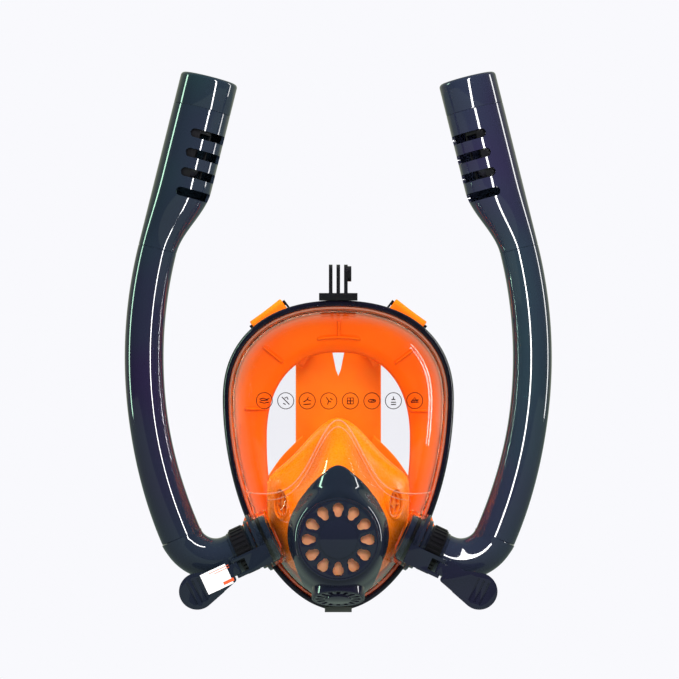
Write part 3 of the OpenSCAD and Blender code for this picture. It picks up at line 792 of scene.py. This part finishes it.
bezel("exhaust_bezel", GRILLE, GRILLE_R, 0.0016, 0.0126, 0.0)
bezel("drain_bezel", DRAIN, DRAIN_R, 0.0016, 0.0150, 0.0)
print("cover", len(nose_cover_piece.data.polygons), "faces")

# %% [markdown]
# ## Ports, elbows and tubes
# A clear socket stands out of the lens on each side. The black connector turns in it, held by a
# knurled collar, and the elbow carries the air up into the bowed tube. Round parts are lathed
# about the port's axis; bent ones are pipes whose radius changes along a centre line.

# %% Pipes and port points
def port_point(side, x, y, out):
    """A point from a port's rim: down across the port, back, and outward."""
    m = PORT[side]
    return m.translation + m.col[0].to_3d() * x + Vector((0, y, 0)) + m.col[2].to_3d() * out


def pipe(name, centres, radii, inner, material, body, replaces, steps=72):
    """A hollow pipe in the plane of the ports, with an outer radius for each centre."""
    centres = np.asarray(centres, float)
    runs = np.gradient(centres, axis=0)
    runs /= np.linalg.norm(runs, axis=1)[:, None]
    across = np.cross(runs, (0, 1, 0))
    t = np.linspace(0, 2 * math.pi, steps, endpoint=False)

    def ring(k, r):
        return centres[k] + r * (np.outer(np.cos(t), across[k]) + np.outer(np.sin(t), (0, 1, 0)))

    last = len(centres) - 1
    lip = 0.0004
    shift = (runs[0] * lip, -runs[last] * lip)
    outer = [ring(0, radii[0] - lip), ring(0, radii[0]) + shift[0]]
    outer += [ring(k, radii[k]) for k in range(1, last)]
    outer += [ring(last, radii[last]) + shift[1], ring(last, radii[last] - lip)]
    inside = [ring(k, inner) for k in range(last, -1, -1)]
    points, faces = skin(outer + inside, joined=True)
    made = piece(name, points, faces, material, body, replaces, 40)
    outward(made.data)
    return made


TUBE_R = 0.5 * (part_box("tube_right")[1].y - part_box("tube_right")[0].y)
BOW_R, BOW_Z = 0.363, 0.080
BOW_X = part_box("tube_right")[1].x - TUBE_R - BOW_R
PORT_Y = PORT["right"].translation.y
ELBOW_R, JOIN, LEAN = 0.030, math.radians(-23.5), math.radians(14)
ELBOW_TUBE_R, FLOW_R = 0.0168, 0.0132
PORT_TILT = math.asin(-PORT["right"].col[2].z)


def arc(centre, radius, start, end, count, sign):
    a = np.linspace(start, end, count)
    return np.c_[sign * (centre[0] + radius * np.cos(a)), np.full(count, PORT_Y),
                 centre[1] + radius * np.sin(a)]


def snorkel_pipes(side, sign):
    body = f"snorkel_{side}"
    reach = BOW_R - ELBOW_R
    centre = (BOW_X + reach * math.cos(JOIN), BOW_Z + reach * math.sin(JOIN))
    bend = arc(centre, ELBOW_R, -math.pi / 2 - PORT_TILT, JOIN, 40, sign)
    neck = np.array([bend[0] - np.array(PORT[side].col[2].to_3d()) * d for d in (0.0032, 0.0016)])
    line = np.vstack([neck, bend])
    swell = np.clip((np.arange(len(line)) - 36) / 5, 0, 1)
    radii = ELBOW_TUBE_R + 0.0004 * smoothstep(swell)
    pipe(f"elbow_{side}_shape", line, radii, FLOW_R, abs_gloss, body, (f"elbow_{side}",))
    line = arc((BOW_X, BOW_Z), BOW_R, JOIN, LEAN, 110, sign)
    radii = TUBE_R + 0.0010 * (1 - smoothstep((line[:, 2] + 0.066) / 0.10))
    pipe(f"tube_{side}_shape", line, radii, FLOW_R, abs_gloss, body, (f"tube_{side}",))


for side, sign in SIDES:
    snorkel_pipes(side, sign)
print("tube radius", round(TUBE_R, 4), "port tilt", round(math.degrees(PORT_TILT), 1))

# %% [markdown]
# ## A ring of equal parts, by Geometry Nodes
# Knurls and slots repeat round an axis. The tree puts a copy of a small part on each point of a
# circle, turned to face outward. Its count and radius are named inputs, set by their socket's
# identifier, and the result is made a plain mesh.

# %% The ring tree
def ring_tree():
    tree = bpy.data.node_groups.new("ring_of_parts", "GeometryNodeTree")
    face = tree.interface
    for name, kind in (("Part", "NodeSocketObject"), ("Count", "NodeSocketInt"),
                       ("Radius", "NodeSocketFloat"), ("Finish", "NodeSocketMaterial")):
        face.new_socket(name=name, in_out="INPUT", socket_type=kind)
    face.new_socket(name="Geometry", in_out="OUTPUT", socket_type="NodeSocketGeometry")
    given = tree.nodes.new("NodeGroupInput")
    ring = add(tree, "GeometryNodeMeshCircle", Vertices=(given, "Count"), Radius=(given, "Radius"))
    part = add(tree, "GeometryNodeObjectInfo", Object=(given, "Part"))
    index = tree.nodes.new("GeometryNodeInputIndex")
    turn = add(tree, "ShaderNodeMath", {"operation": "DIVIDE"})
    tree.links.new(index.outputs[0], turn.inputs[0])
    tree.links.new(given.outputs["Count"], turn.inputs[1])
    full = add(tree, "ShaderNodeMath", {"operation": "MULTIPLY"})
    tree.links.new(turn.outputs[0], full.inputs[0])
    full.inputs[1].default_value = 2 * math.pi
    spin = add(tree, "ShaderNodeCombineXYZ", Z=(full, "Value"))
    copies = add(tree, "GeometryNodeInstanceOnPoints", Points=(ring, "Mesh"),
                 Instance=(part, "Geometry"), Rotation=(spin, "Vector"))
    real = add(tree, "GeometryNodeRealizeInstances", Geometry=(copies, "Instances"))
    painted = add(tree, "GeometryNodeSetMaterial", Geometry=(real, "Geometry"),
                  Material=(given, "Finish"))
    output = tree.nodes.new("NodeGroupOutput")
    tree.links.new(painted.outputs["Geometry"], output.inputs["Geometry"])
    return tree


RING = ring_tree()


def ring_of(name, points, faces, count, radius, matrix, material, body, replaces=()):
    part_mesh = bpy.data.meshes.new("part")
    part_mesh.from_pydata([tuple(p) for p in points], [], faces)
    outward(part_mesh)
    part = bpy.data.objects.new("part", part_mesh)
    holder = bpy.data.objects.new("holder", bpy.data.meshes.new("holder"))
    bpy.context.scene.collection.objects.link(part)
    bpy.context.scene.collection.objects.link(holder)
    nodes = holder.modifiers.new("ring", "NODES")
    nodes.node_group = RING
    values = {"Part": part, "Count": count, "Radius": radius, "Finish": material}
    for socket in RING.interface.items_tree:
        if socket.in_out == "INPUT":
            nodes[socket.identifier] = values[socket.name]
    bpy.context.view_layer.update()
    shown = holder.evaluated_get(bpy.context.evaluated_depsgraph_get())
    mesh = bpy.data.meshes.new_from_object(shown)
    mesh.transform(matrix)
    mesh.name = name
    bpy.data.objects.remove(holder)
    bpy.data.objects.remove(part)
    return finished(mesh, name, material, body, replaces)


def block(x, y, z, bevel):
    """A small bevelled block between three ranges, as points and faces."""
    shape = bmesh.new()
    bmesh.ops.create_cube(shape, size=1)
    for v in shape.verts:
        v.co = Vector((x[0] + (v.co.x + 0.5) * (x[1] - x[0]), y[0] + (v.co.y + 0.5) * (y[1] - y[0]),
                       z[0] + (v.co.z + 0.5) * (z[1] - z[0])))
    if bevel:
        bmesh.ops.bevel(shape, geom=shape.edges, offset=bevel, segments=2, profile=0.5,
                        affect="EDGES")
    points = [v.co.copy() for v in shape.verts]
    for k, v in enumerate(shape.verts):
        v.index = k
    faces = [[v.index for v in f.verts] for f in shape.faces]
    shape.free()
    return points, faces


# %% [markdown]
# ## Round parts at a port
# Each is lathed about the port's axis from a short profile of radius and height. The knurls
# are copies of one small block, set round the collar.

# %% Sockets, connectors, seals and collars
KNURLS = 28
for side, sign in SIDES:
    m = PORT[side]
    bead = rounded([(0.0190, -0.016), (0.0225, -0.016), (0.0225, -0.0035), (0.0233, -0.0028),
                    (0.0233, 0.0), (0.0190, 0.0)], 0.0004)
    lathe(f"socket_{side}_shape", bead, m, clear, "mask", (f"socket_{side}",))
    body = f"snorkel_{side}"
    barrel = rounded([(0.0132, -0.014), (0.01894, -0.014), (0.01894, -0.0092), (0.0170, -0.0090),
                      (0.0170, -0.0064), (0.01894, -0.0062), (0.01894, 0.0004), (0.0210, 0.0004),
                      (0.0210, 0.0034), (0.0175, 0.0034), (0.0175, 0.0200), (0.0168, 0.0203),
                      (0.0168, 0.0215), (0.0132, 0.0215)], 0.0004)
    lathe(f"connector_{side}_shape", barrel, m, abs_gloss, body, (f"connector_{side}",))
    ring = rounded([(0.01702, -0.0089), (0.0189, -0.0089), (0.0189, -0.0065), (0.01702, -0.0065)],
                   0.0009, 6)
    lathe(f"socket_seal_{side}_shape", ring, m, nitrile, body, (f"socket_seal_{side}",))
    sleeve = rounded([(0.01755, 0.005), (0.0186, 0.005), (0.0186, 0.018), (0.01755, 0.018)], 0.0004)
    lathe(f"lock_collar_{side}_shape", sleeve, m, abs_satin, f"collar_{side}",
          (f"lock_collar_{side}",))
    points, faces = block((-0.0012, 0.0009), (-0.0010, 0.0010), (0.0062, 0.0168), 0.0004)
    ring_of(f"collar_knurls_{side}", points, faces, KNURLS, 0.0186, m, abs_satin,
            f"collar_{side}")
print("ports dressed")

# %% [markdown]
# ## Snorkel heads
# A head widens from the tube towards its inner side only, so its outer line runs straight on.
# Four slots reach from the front round to the inner side. Behind them a cage guides the float
# ball, which closes the seat above it when the head goes under water.

# %% Heads
HEAD_R = 0.5 * (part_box("head_right")[1].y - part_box("head_right")[0].y)
HEAD_IN = HEAD_R - TUBE_R
HEAD_L, TAPER_L, HEAD_WALL = 0.118, 0.055, 0.0024
SLOT_FROM, SLOT_PITCH, SLOT_H, SLOTS = 0.049, 0.016, 0.0070, 4


def head_place(side, sign):
    foot = Vector((sign * (BOW_X + BOW_R * math.cos(LEAN)), PORT_Y, BOW_Z + BOW_R * math.sin(LEAN)))
    return foot, HEAD[side], Vector((sign * math.cos(LEAN), 0, math.sin(LEAN)))


def head_ring(place, along, less, steps=96):
    foot, axis, out = place
    r = TUBE_R + HEAD_IN * float(smoothstep(along / TAPER_L))
    t = np.linspace(0, 2 * math.pi, steps, endpoint=False)
    centre = np.array(foot + axis * along - out * (r - TUBE_R))
    return centre + (r - less) * (np.outer(np.cos(t), out) + np.outer(np.sin(t), (0, 1, 0)))


def slot_cutter(place, along):
    """A slab round the inner front quarter, whose height runs out to nothing at its ends."""
    foot, axis, out = place
    rings = []
    for a in np.linspace(-95, 8, 40):
        end = min(a + 95, 8 - a) / 9
        half = SLOT_H / 2 * math.sqrt(max(0.003, 1 - max(0, 1 - end) ** 2))
        way = -out * math.sin(math.radians(-a)) + Vector((0, -1, 0)) * math.cos(math.radians(a))
        middle = foot + axis * along - out * HEAD_IN
        rings.append([middle + way * r + axis * h for r, h in
                      ((0.014, -half), (0.014, half), (0.034, half), (0.034, -half))])
    return skin(rings)


print("head radius", round(HEAD_R, 4))

# %% [markdown]
# ## Building a head and its ball
# The skin is closed over a wall, then each slot is taken out of it. The ball has a shallow groove
# round its middle, where its two halves are welded.

# %% Head and ball
def head(side, sign):
    place = head_place(side, sign)
    steps = [*np.linspace(0.0004, TAPER_L, 26), *np.linspace(TAPER_L, HEAD_L - 0.0004, 18)[1:]]
    outer = [head_ring(place, 0, 0.0004)] + [head_ring(place, s, 0) for s in steps]
    outer += [head_ring(place, HEAD_L, 0.0004)]
    inside = [head_ring(place, s, HEAD_WALL) for s in (HEAD_L, *steps[::-1], 0)]
    points, faces = skin(outer + inside, joined=True)
    made = piece(f"head_{side}_shape", points, faces, abs_gloss, f"snorkel_{side}",
                 (f"head_{side}",), 40)
    outward(made.data)
    for k in range(SLOTS):
        points, faces = slot_cutter(place, SLOT_FROM + k * SLOT_PITCH)
        take_away(made, points, faces)
    made.data.set_sharp_from_angle(angle=math.radians(40))
    return made


def ball(side):
    low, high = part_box(f"float_ball_{side}")
    centre, r = (low + high) / 2, (high.x - low.x) / 2
    spots = np.linspace(-math.pi / 2, math.pi / 2, 33)[1:-1]
    radii = [r * (1 - (0.03 if abs(a) < 0.06 else 0)) for a in spots]
    t = np.linspace(0, 2 * math.pi, 48, endpoint=False)
    m = place_of(centre, HEAD[side], (0, 1, 0))
    rings = [turned(np.c_[q * math.cos(a) * np.cos(t), q * math.cos(a) * np.sin(t),
                          np.full(48, q * math.sin(a))], m) for a, q in zip(spots, radii)]
    points, faces = skin(rings)
    made = piece(f"float_ball_{side}_shape", points, faces, float_pp, f"float_{side}",
                 (f"float_ball_{side}",), 40)
    outward(made.data)


for side, sign in SIDES:
    head(side, sign)
    ball(side)
    refined(f"head_cap_{side}", abs_gloss, bevel=0.0005)
    refined(f"float_cage_{side}", abs_inner, bevel=0.0002)
    refined(f"float_seat_{side}", abs_inner, bevel=0.0002)
print("heads dressed")

# %% [markdown]
# ## Straps
# A strap is a soft band, rounded at its edges, swept along a path with a width direction at each
# point. The four arms leave the rim and meet the pad behind the head.

# %% Strap tools
def strap(name, path, across, width, thick, body, replaces, material=None, count=60):
    """A soft flat band along a path; across gives the width direction at each of its points."""
    line = curve_through(path, count)
    ways = curve_through(across, count)
    ways /= np.linalg.norm(ways, axis=1)[:, None]
    runs = np.gradient(line, axis=0)
    runs /= np.linalg.norm(runs, axis=1)[:, None]
    ups = np.cross(runs, ways)
    ups /= np.linalg.norm(ups, axis=1)[:, None]
    widths = np.broadcast_to(np.asarray(width, float), (count,))
    half = thick / 2
    u = np.linspace(0, math.pi, 7)
    side = np.cos(u - math.pi / 2) * half * 0.9
    rings = []
    for k in range(count):
        w = widths[k] / 2 - half
        ring = [(w + s, -half * math.cos(a)) for s, a in zip(side, u)]
        ring += [(x, half - 0.0003 * math.cos(math.pi * x / w / 2)) for x in
                 np.linspace(w, -w, 15)[1:-1]]
        ring += [(-w - s, half * math.cos(a)) for s, a in zip(side, u)]
        ring += [(x, -half + 0.0003 * math.cos(math.pi * x / w / 2)) for x in
                 np.linspace(-w, w, 15)[1:-1]]
        rings.append([line[k] + ways[k] * x + ups[k] * y for x, y in ring])
    points, faces = skin(rings)
    made = piece(name, points, faces, material or silicone_strap, body, replaces,
                 50)
    outward(made.data)
    return made


# %% [markdown]
# ## The four arms
# An upper arm loops round its bar behind the rim and runs back to the pad. A lower arm leaves
# behind the port. Left is the mirror of right.

# %% Harness arms
BAR_TURN = math.radians(37)
BAR = np.array([0.056, SEAL_Y + 0.025, 0.1125])
LOOP_R = 0.0036
STRAP_W, LOWER_W, STRAP_T = 0.032, 0.0216, 0.0024
PAD_Y = SEAL_Y + 0.074


def on_bar(x, y, z):
    c, s = math.cos(BAR_TURN), math.sin(BAR_TURN)
    return BAR + np.array([c * x + s * z, y, c * z - s * x])


def upper_arm(side, sign):
    loop = [on_bar(0, -LOOP_R * math.cos(a), 0.003 + LOOP_R * math.sin(a))
            for a in np.linspace(0, math.pi, 9)]
    path = [on_bar(0, -LOOP_R, -0.009), on_bar(0, -LOOP_R, -0.002), *loop,
            on_bar(0, LOOP_R, -0.004), (0.049, SEAL_Y + 0.040, 0.103),
            (0.042, SEAL_Y + 0.056, 0.098), (0.033, PAD_Y - 0.004, 0.092), (0.022, PAD_Y, 0.084)]
    along = on_bar(1, 0, 0) - BAR
    across = []
    for i in range(len(path)):
        s = max(0, i - 11) / (len(path) - 12)
        across.append(along * (1 - s) + np.array([0.55, 0, -0.84]) * s)
    flip = np.array([sign, 1, 1])
    strap(f"upper_arm_{side}_shape", np.array(path) * flip, np.array(across) * flip, STRAP_W,
          STRAP_T, "mask", (f"upper_arm_{side}",), count=90)


def lower_arm(side, sign):
    path = [(0.069, -0.0046, -0.073), (0.075, 0.003, -0.073), (0.0765, 0.020, -0.072),
            (0.076, 0.034, -0.066), (0.070, 0.048, -0.052), (0.057, 0.063, -0.032),
            (0.044, 0.071, -0.014), (0.026, 0.074, 0.004)]
    across = [(0.06 * i, 0, 1) for i in range(len(path))]
    flip = np.array([sign, 1, 1])
    line = (np.array(path) + (0, SEAL_Y, 0)) * flip
    strap(f"lower_arm_{side}_shape", line, np.array(across) * flip, LOWER_W, STRAP_T,
          "mask", (f"lower_arm_{side}",), count=70)


for side, sign in SIDES:
    upper_arm(side, sign)
    lower_arm(side, sign)

# %% [markdown]
# ## The pad behind the head
# The pad is a rounded sheet with a V notch at its top. It is drawn as an outline and thickened,
# with its edges rounded over.

# %% Harness pad
PAD_T = 0.0030


def pad_outline():
    out = []
    for cx, cz, start in ((0.024, 0.084, 0), (-0.024, 0.084, 90), (-0.024, 0.004, 180),
                          (0.024, 0.004, 270)):
        if start == 90:
            out += [(0.0085, 0.0958), (0.0062, 0.0900), (0.0050, 0.0840), (0.0020, 0.0690),
                    (0, 0.0640), (-0.0020, 0.0690), (-0.0050, 0.0840), (-0.0062, 0.0900),
                    (-0.0085, 0.0958)]
        for a in np.radians(np.linspace(start, start + 90, 13)):
            out.append((cx + 0.012 * math.cos(a), cz + 0.012 * math.sin(a)))
    return out


def pad():
    outline = np.array(pad_outline())
    runs = np.roll(outline, -1, axis=0) - np.roll(outline, 1, axis=0)
    runs /= np.linalg.norm(runs, axis=1)[:, None]
    inward = np.c_[-runs[:, 1], runs[:, 0]]
    low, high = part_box("harness_pad")
    middle, half = (low.y + high.y) / 2, PAD_T / 2
    rings = []
    for a in np.linspace(-math.pi / 2, math.pi / 2, 7):
        line = outline + inward * PAD_T * 0.45 * (1 - math.cos(a))
        rings.append(np.c_[line[:, 0], np.full(len(line), middle + half * math.sin(a)), line[:, 1]])
    n = len(outline)
    points = np.concatenate(rings)
    faces = [(j * n + i, j * n + (i + 1) % n, (j + 1) * n + (i + 1) % n, (j + 1) * n + i)
             for j in range(len(rings) - 1) for i in range(n)]
    faces += [tuple(range(n - 1, -1, -1)), tuple(range((len(rings) - 1) * n, len(rings) * n))]
    shape = bmesh.new()
    verts = [shape.verts.new(tuple(p)) for p in points]
    for face in faces:
        shape.faces.new([verts[k] for k in face])
    shape.normal_update()
    flat = [f for f in shape.faces if len(f.verts) > 4]
    bmesh.ops.triangulate(shape, faces=flat, quad_method="BEAUTY", ngon_method="EAR_CLIP")
    mesh = bpy.data.meshes.new("harness_pad_shape")
    shape.to_mesh(mesh)
    shape.free()
    outward(mesh)
    return finished(mesh, "harness_pad_shape", silicone_strap, "mask", ("harness_pad",),
                    50)


pad_piece = pad()
print("harness", len(pad_piece.data.polygons), "faces in the pad")

# %% [markdown]
# ## Small parts
# The remaining parts keep the design's own shape. Each gets its finish, and all but the label get
# broken edges.

# %% Small parts
# The exhaust and drain flaps take the lightened flap colour, a painted light for their shaded slots.
for node, material, edge in (
        ("front_grille", abs_gloss, 0.0004), ("exhaust_seat", abs_inner, 0.0002),
        ("exhaust_flap", flap_silicone_painted_light, 0.0002), ("drain_grille", abs_gloss, 0.0003),
        ("drain_seat", abs_inner, 0.0002), ("drain_flap", flap_silicone_painted_light, 0.0002),
        ("camera_mount", abs_satin, 0.0006), ("camera_nut", steel, 0.0002),
        ("chin_clip", nylon_grey, 0.0003), ("clip_label", vinyl, 0.0)):
    refined(node, material, bevel=edge)
for side, sign in SIDES:
    for node, material, edge in (
            ("inhale_seat", silicone_pocket, 0.0002), ("inhale_flap", silicone_pocket, 0.0001),
            ("strap_bar", abs_satin, 0.0004), ("clip_base", abs_gloss, 0.0005),
            ("clip_pin", steel, 0.0002), ("strap_clip", abs_gloss, 0.0007)):
        refined(f"{node}_{side}", material, bevel=edge)
print("small parts finished")

# %% [markdown]
# ## Ribs on the skirt
# Low ribs stiffen the skirt above and beside the face opening. Each one is laid on the skirt's
# real front surface, found with rays from in front.

# %% Skirt ribs
SKIRT_TREE = BVHTree.FromPolygons([v.co.copy() for v in face_skirt.data.vertices],
                                  [tuple(p.vertices) for p in face_skirt.data.polygons])
RIBS = [((0.0004, 0.1107), (0.0004, 0.0963), 0.0), ((-0.0174, 0.0950), (0.0182, 0.0950), 0.0016),
        ((-0.0624, 0.0892), (-0.0454, 0.0754), 0.0), ((0.0624, 0.0868), (0.0462, 0.0746), 0.0),
        ((-0.0779, 0.0373), (-0.0584, 0.0373), 0.0), ((0.0779, 0.0357), (0.0592, 0.0357), 0.0)]


def skirt_at(x, z):
    hit = SKIRT_TREE.ray_cast(Vector((x, -0.2, z)), Vector((0, 1, 0)))[0]
    return hit.y if hit else None


def rib(name, start, end, arch):
    start, end = np.array(start), np.array(end)
    run = (end - start) / np.linalg.norm(end - start)
    side = np.array([-run[1], run[0]])
    rings = []
    for u in np.linspace(0, 1, 24):
        place = start + (end - start) * u + side * arch * 4 * u * (1 - u)
        y = skirt_at(*place)
        if y is None:
            continue
        fade = math.sqrt(max(0.05, 1 - (2 * u - 1) ** 8))
        ring = []
        for a in np.linspace(0, math.pi, 9):
            x, z = place + side * 0.0013 * math.cos(a)
            ring.append((x, y - 0.0036 * fade * math.sin(a) ** 0.6 + 0.0006, z))
        rings.append(ring)
    points, faces = skin(rings)
    made = piece(name, points, faces, silicone, "mask", sharp=60)
    outward(made.data)


for k, (start, end, arch) in enumerate(RIBS):
    rib(f"skirt_rib_{k}", start, end, arch)
print(len(RIBS), "ribs")

# %% [markdown]
# ## Printing on the lens
# Eight small round signs are printed in a row across the lens, drawn here as generic marks. A
# line of print is a thin strip that follows the outside of the lens.

# %% Printed signs
SIGN_Z, SIGN_R, SIGN_FROM, SIGN_PITCH = 0.0454, 0.0065, -0.0595, 0.0173
t = np.linspace(0, 2 * math.pi, 13)
WAVE = [(x, 0.8 * math.sin(3 * x)) for x in np.linspace(-3, 3, 25)]
MARKS = [
    [[(-4, 1), (-1, 2), (2, 1), (4, 2)], [(-4, -1), (0, -2), (4, -1)], [(-3, 0), (3, 0.4)]],
    [[(-3, 3), (3, -3)], [(-1, 2), (1, 3), (2, 1)], [(-2, -2), (0, -3)]],
    [[(-3, -1), (0, 1), (3, 0)], [(0, 1), (1, 3)], [(-3, -3), (3, -2.4)]],
    [[(-2, 3), (0, 0), (2, -1)], [(0, 0), (-1, -3)], [(1, 2), (3, 1)]],
    [[(-2.4, -2.4), (2.4, -2.4), (2.4, 2.4), (-2.4, 2.4), (-2.4, -2.4)], [(-2.4, 0), (2.4, 0)],
     [(0, -2.4), (0, 2.4)]],
    [[(3 * math.cos(a), 1.2 * math.sin(a)) for a in t], [(-1, -0.3), (2, 0.3)]],
    [[(0, 3.4), (0, 1)], [(-1.6, 1), (1.6, 1)], [(-2, -1.2), (2, -1.2)], [(-2, -3), (2, -3)]],
    [[(-3, -1.5), (0, 2.5), (3, -1.5), (-3, -1.5)], WAVE]]


def print_strip(line, width, points, faces):
    line = np.asarray(line, float)
    runs = np.gradient(line, axis=0)
    runs /= np.linalg.norm(runs, axis=1)[:, None] + 1e-9
    side = np.c_[-runs[:, 1], runs[:, 0]] * width / 2
    base = len(points)
    for k in range(len(line)):
        for place, lift in ((line[k] - side[k], 0.00003), (line[k] + side[k], 0.00003),
                            (line[k] + side[k], 0.00012), (line[k] - side[k], 0.00012)):
            x, z = place
            points.append((x, float(lens_y(np.float64(x), np.float64(z))) - lift, z))
    for k in range(len(line) - 1):
        a, b = base + 4 * k, base + 4 * k + 4
        faces += [(a + i, a + (i + 1) % 4, b + (i + 1) % 4, b + i) for i in range(4)]
    faces += [(base, base + 3, base + 2, base + 1), tuple(base + 4 * len(line) - 4 + i
                                                          for i in range(4))]


def printing():
    points, faces = [], []
    around = np.linspace(0, 2 * math.pi, 49)
    for k, mark in enumerate(MARKS):
        centre = np.array([SIGN_FROM + k * SIGN_PITCH, SIGN_Z])
        ring = centre + SIGN_R * np.c_[np.cos(around), np.sin(around)]
        print_strip(ring, 0.0006, points, faces)
        for line in mark:
            print_strip(centre + np.array(line) / 1000, 0.0008, points, faces)
    made = piece("lens_print", points, faces, ink, "mask", sharp=30)
    outward(made.data)
    return made


print("printed signs", len(printing().data.polygons), "faces")

# %% [markdown]
# ## The label
# A plain white sticker on one strap clip carries a bar and two thin lines, as a layout with
# no words.

# %% Label
LABEL_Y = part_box("clip_label")[0].y


def label_mark(name, across, along, material):
    """A bar of print on the label, between two places across and two along the port."""
    corners = []
    for y in (LABEL_Y - 0.00006, LABEL_Y + 0.00002):
        for x, out in ((across[0], along[0]), (across[1], along[0]), (across[1], along[1]),
                       (across[0], along[1])):
            p = port_point("left", x, 0, out)
            corners.append((p.x, y, p.z))
    faces = [(0, 1, 2, 3), (7, 6, 5, 4), *[(i, (i + 1) % 4, 4 + (i + 1) % 4, 4 + i)
                                           for i in range(4)]]
    made = piece(name, corners, faces, material, "clip_left")
    outward(made.data)


label_mark("label_bar", (0.0150, 0.0176), (0.0275, 0.0365), vinyl_bar)
label_mark("label_line_0", (0.0040, 0.0045), (0.0270, 0.0440), vinyl_bar)
label_mark("label_line_1", (0.0058, 0.0063), (0.0270, 0.0400), vinyl_bar)
print("label printed")

# %% [markdown]
# ## Light, background and floor
# Tall strips at the sides lay long white lines on the black tubes. Two broad boxes, above and in
# front, light the silicone and are hidden from mirrored rays. A near strip lights only the tubes.

# %% Stage
def soft_box(name, place, aim, width, height, power):
    data = bpy.data.lights.new(name, "AREA")
    data.shape = "RECTANGLE"
    data.size, data.size_y = width, height
    data.energy = power
    made = bpy.data.objects.new(name, data)
    bpy.context.scene.collection.objects.link(made)
    made.location = place
    made.rotation_euler = (Vector(aim) - Vector(place)).to_track_quat("-Z", "Y").to_euler()
    return made


strip = soft_box("strip_left", (-1.95, 0.10, 0.45), (0, 0, 0.1), 0.22, 1.4, 14)
strip.data.color = (0.6, 1, 0.75)
soft_box("strip_right", (2.0, 0.35, 0.3), (0, 0, 0.1), 0.25, 1.9, 16)
for name, place, power in (("top", (0, -0.5, 1.9), 45), ("front_fill", (0.3, -2.2, 1.0), 34)):
    broad = soft_box(name, place, (0, 0, 0.0), 1.2, 0.8, power)
    broad.visible_glossy = False
    broad.visible_transmission = False
near = soft_box("tube_line", (0.10, -0.37, 0.20), (0.10, 0, 0.20), 0.034, 0.56, 2.4)
tubes = bpy.data.collections.new("tubes_and_heads")
bpy.context.scene.collection.children.link(tubes)
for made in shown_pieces():
    if made.name.split("_")[0] in ("tube", "head", "elbow"):
        tubes.objects.link(made)
near.light_linking.receiver_collection = tubes

# %% [markdown]
# ## What each kind of ray sees of the studio
# The camera, and a ray that goes straight through the lens, see a plain pale background. Diffuse
# rays get even light, and mirrored rays see a dark studio, which keeps the black plastic black.

# %% World
world = bpy.data.worlds.new("studio")
world.use_nodes = True
bpy.context.scene.world = world
tree = world.node_tree
tree.nodes.clear()
path = add(tree, "ShaderNodeLightPath")
through = add(tree, "ShaderNodeMath", {"operation": "MAXIMUM"})
tree.links.new(path.outputs["Is Camera Ray"], through.inputs[0])
unmirrored = add(tree, "ShaderNodeMath", {"operation": "LESS_THAN"})
tree.links.new(path.outputs["Glossy Depth"], unmirrored.inputs[0])
unmirrored.inputs[1].default_value = 0.5
straight = add(tree, "ShaderNodeMath", {"operation": "MULTIPLY"})
tree.links.new(path.outputs["Is Transmission Ray"], straight.inputs[0])
tree.links.new(unmirrored.outputs[0], straight.inputs[1])
tree.links.new(straight.outputs[0], through.inputs[1])
way = add(tree, "ShaderNodeTexCoord")
parts = add(tree, "ShaderNodeSeparateXYZ", Vector=(way, "Generated"))
behind = add(tree, "ShaderNodeMapRange", Value=(parts, "Y"), From_Min=-0.3, From_Max=0.9)
aside = add(tree, "ShaderNodeMapRange", Value=(parts, "X"), From_Min=-0.7, From_Max=0.7)
front = mixed(tree, (aside, "Result"), colour("#16302c"), colour("#2b1822"))
back = add(tree, "ShaderNodeMix", {"data_type": "RGBA"})
tree.links.new(behind.outputs["Result"], back.inputs[0])
tree.links.new(front.outputs[2], back.inputs[6])
back.inputs[7].default_value = colour("#a9b09c")
gloss_world = add(tree, "ShaderNodeBackground", Strength=1.0)
tree.links.new(back.outputs[2], gloss_world.inputs["Color"])
even = add(tree, "ShaderNodeBackground", Color=colour("#fff8f0"), Strength=0.85)
dim = add(tree, "ShaderNodeMixShader")
tree.links.new(path.outputs["Is Diffuse Ray"], dim.inputs[0])
tree.links.new(gloss_world.outputs[0], dim.inputs[1])
tree.links.new(even.outputs[0], dim.inputs[2])
pale = add(tree, "ShaderNodeBackground", Color=colour("#f9f9fd"), Strength=1.0)
shown = add(tree, "ShaderNodeMixShader")
tree.links.new(through.outputs[0], shown.inputs[0])
tree.links.new(dim.outputs[0], shown.inputs[1])
tree.links.new(pale.outputs[0], shown.inputs[2])
add(tree, "ShaderNodeOutputWorld", Surface=(shown, "Shader"))

print("world ready")

# %% [markdown]
# ## Floor
# The floor is as pale as the background. A mirrored ray sees it darker, so that it lays no grey
# veil over the lens.

# %% Floor
floor_material, tree = new_material("floor_pale")
lit = add(tree, "ShaderNodeEmission", Color=colour("#f9f9fd"), Strength=1.0)
mirrored = add(tree, "ShaderNodeEmission", Color=colour("#9fb3a4"), Strength=0.55)
ray = add(tree, "ShaderNodeLightPath")
seen = add(tree, "ShaderNodeMixShader")
tree.links.new(ray.outputs["Glossy Depth"], seen.inputs[0])
tree.links.new(lit.outputs[0], seen.inputs[1])
tree.links.new(mirrored.outputs[0], seen.inputs[2])
finish_material(tree, seen, "Shader")
FLOOR_Z = cad_low.z - 0.12
floor_mesh = bpy.data.meshes.new("floor")
floor_mesh.from_pydata([(-3, -3, FLOOR_Z), (3, -3, FLOOR_Z), (3, 3, FLOOR_Z), (-3, 3, FLOOR_Z)], [],
                       [(0, 1, 2, 3)])
floor_mesh.materials.append(floor_material)
floor = bpy.data.objects.new("floor", floor_mesh)
bpy.context.scene.collection.objects.link(floor)
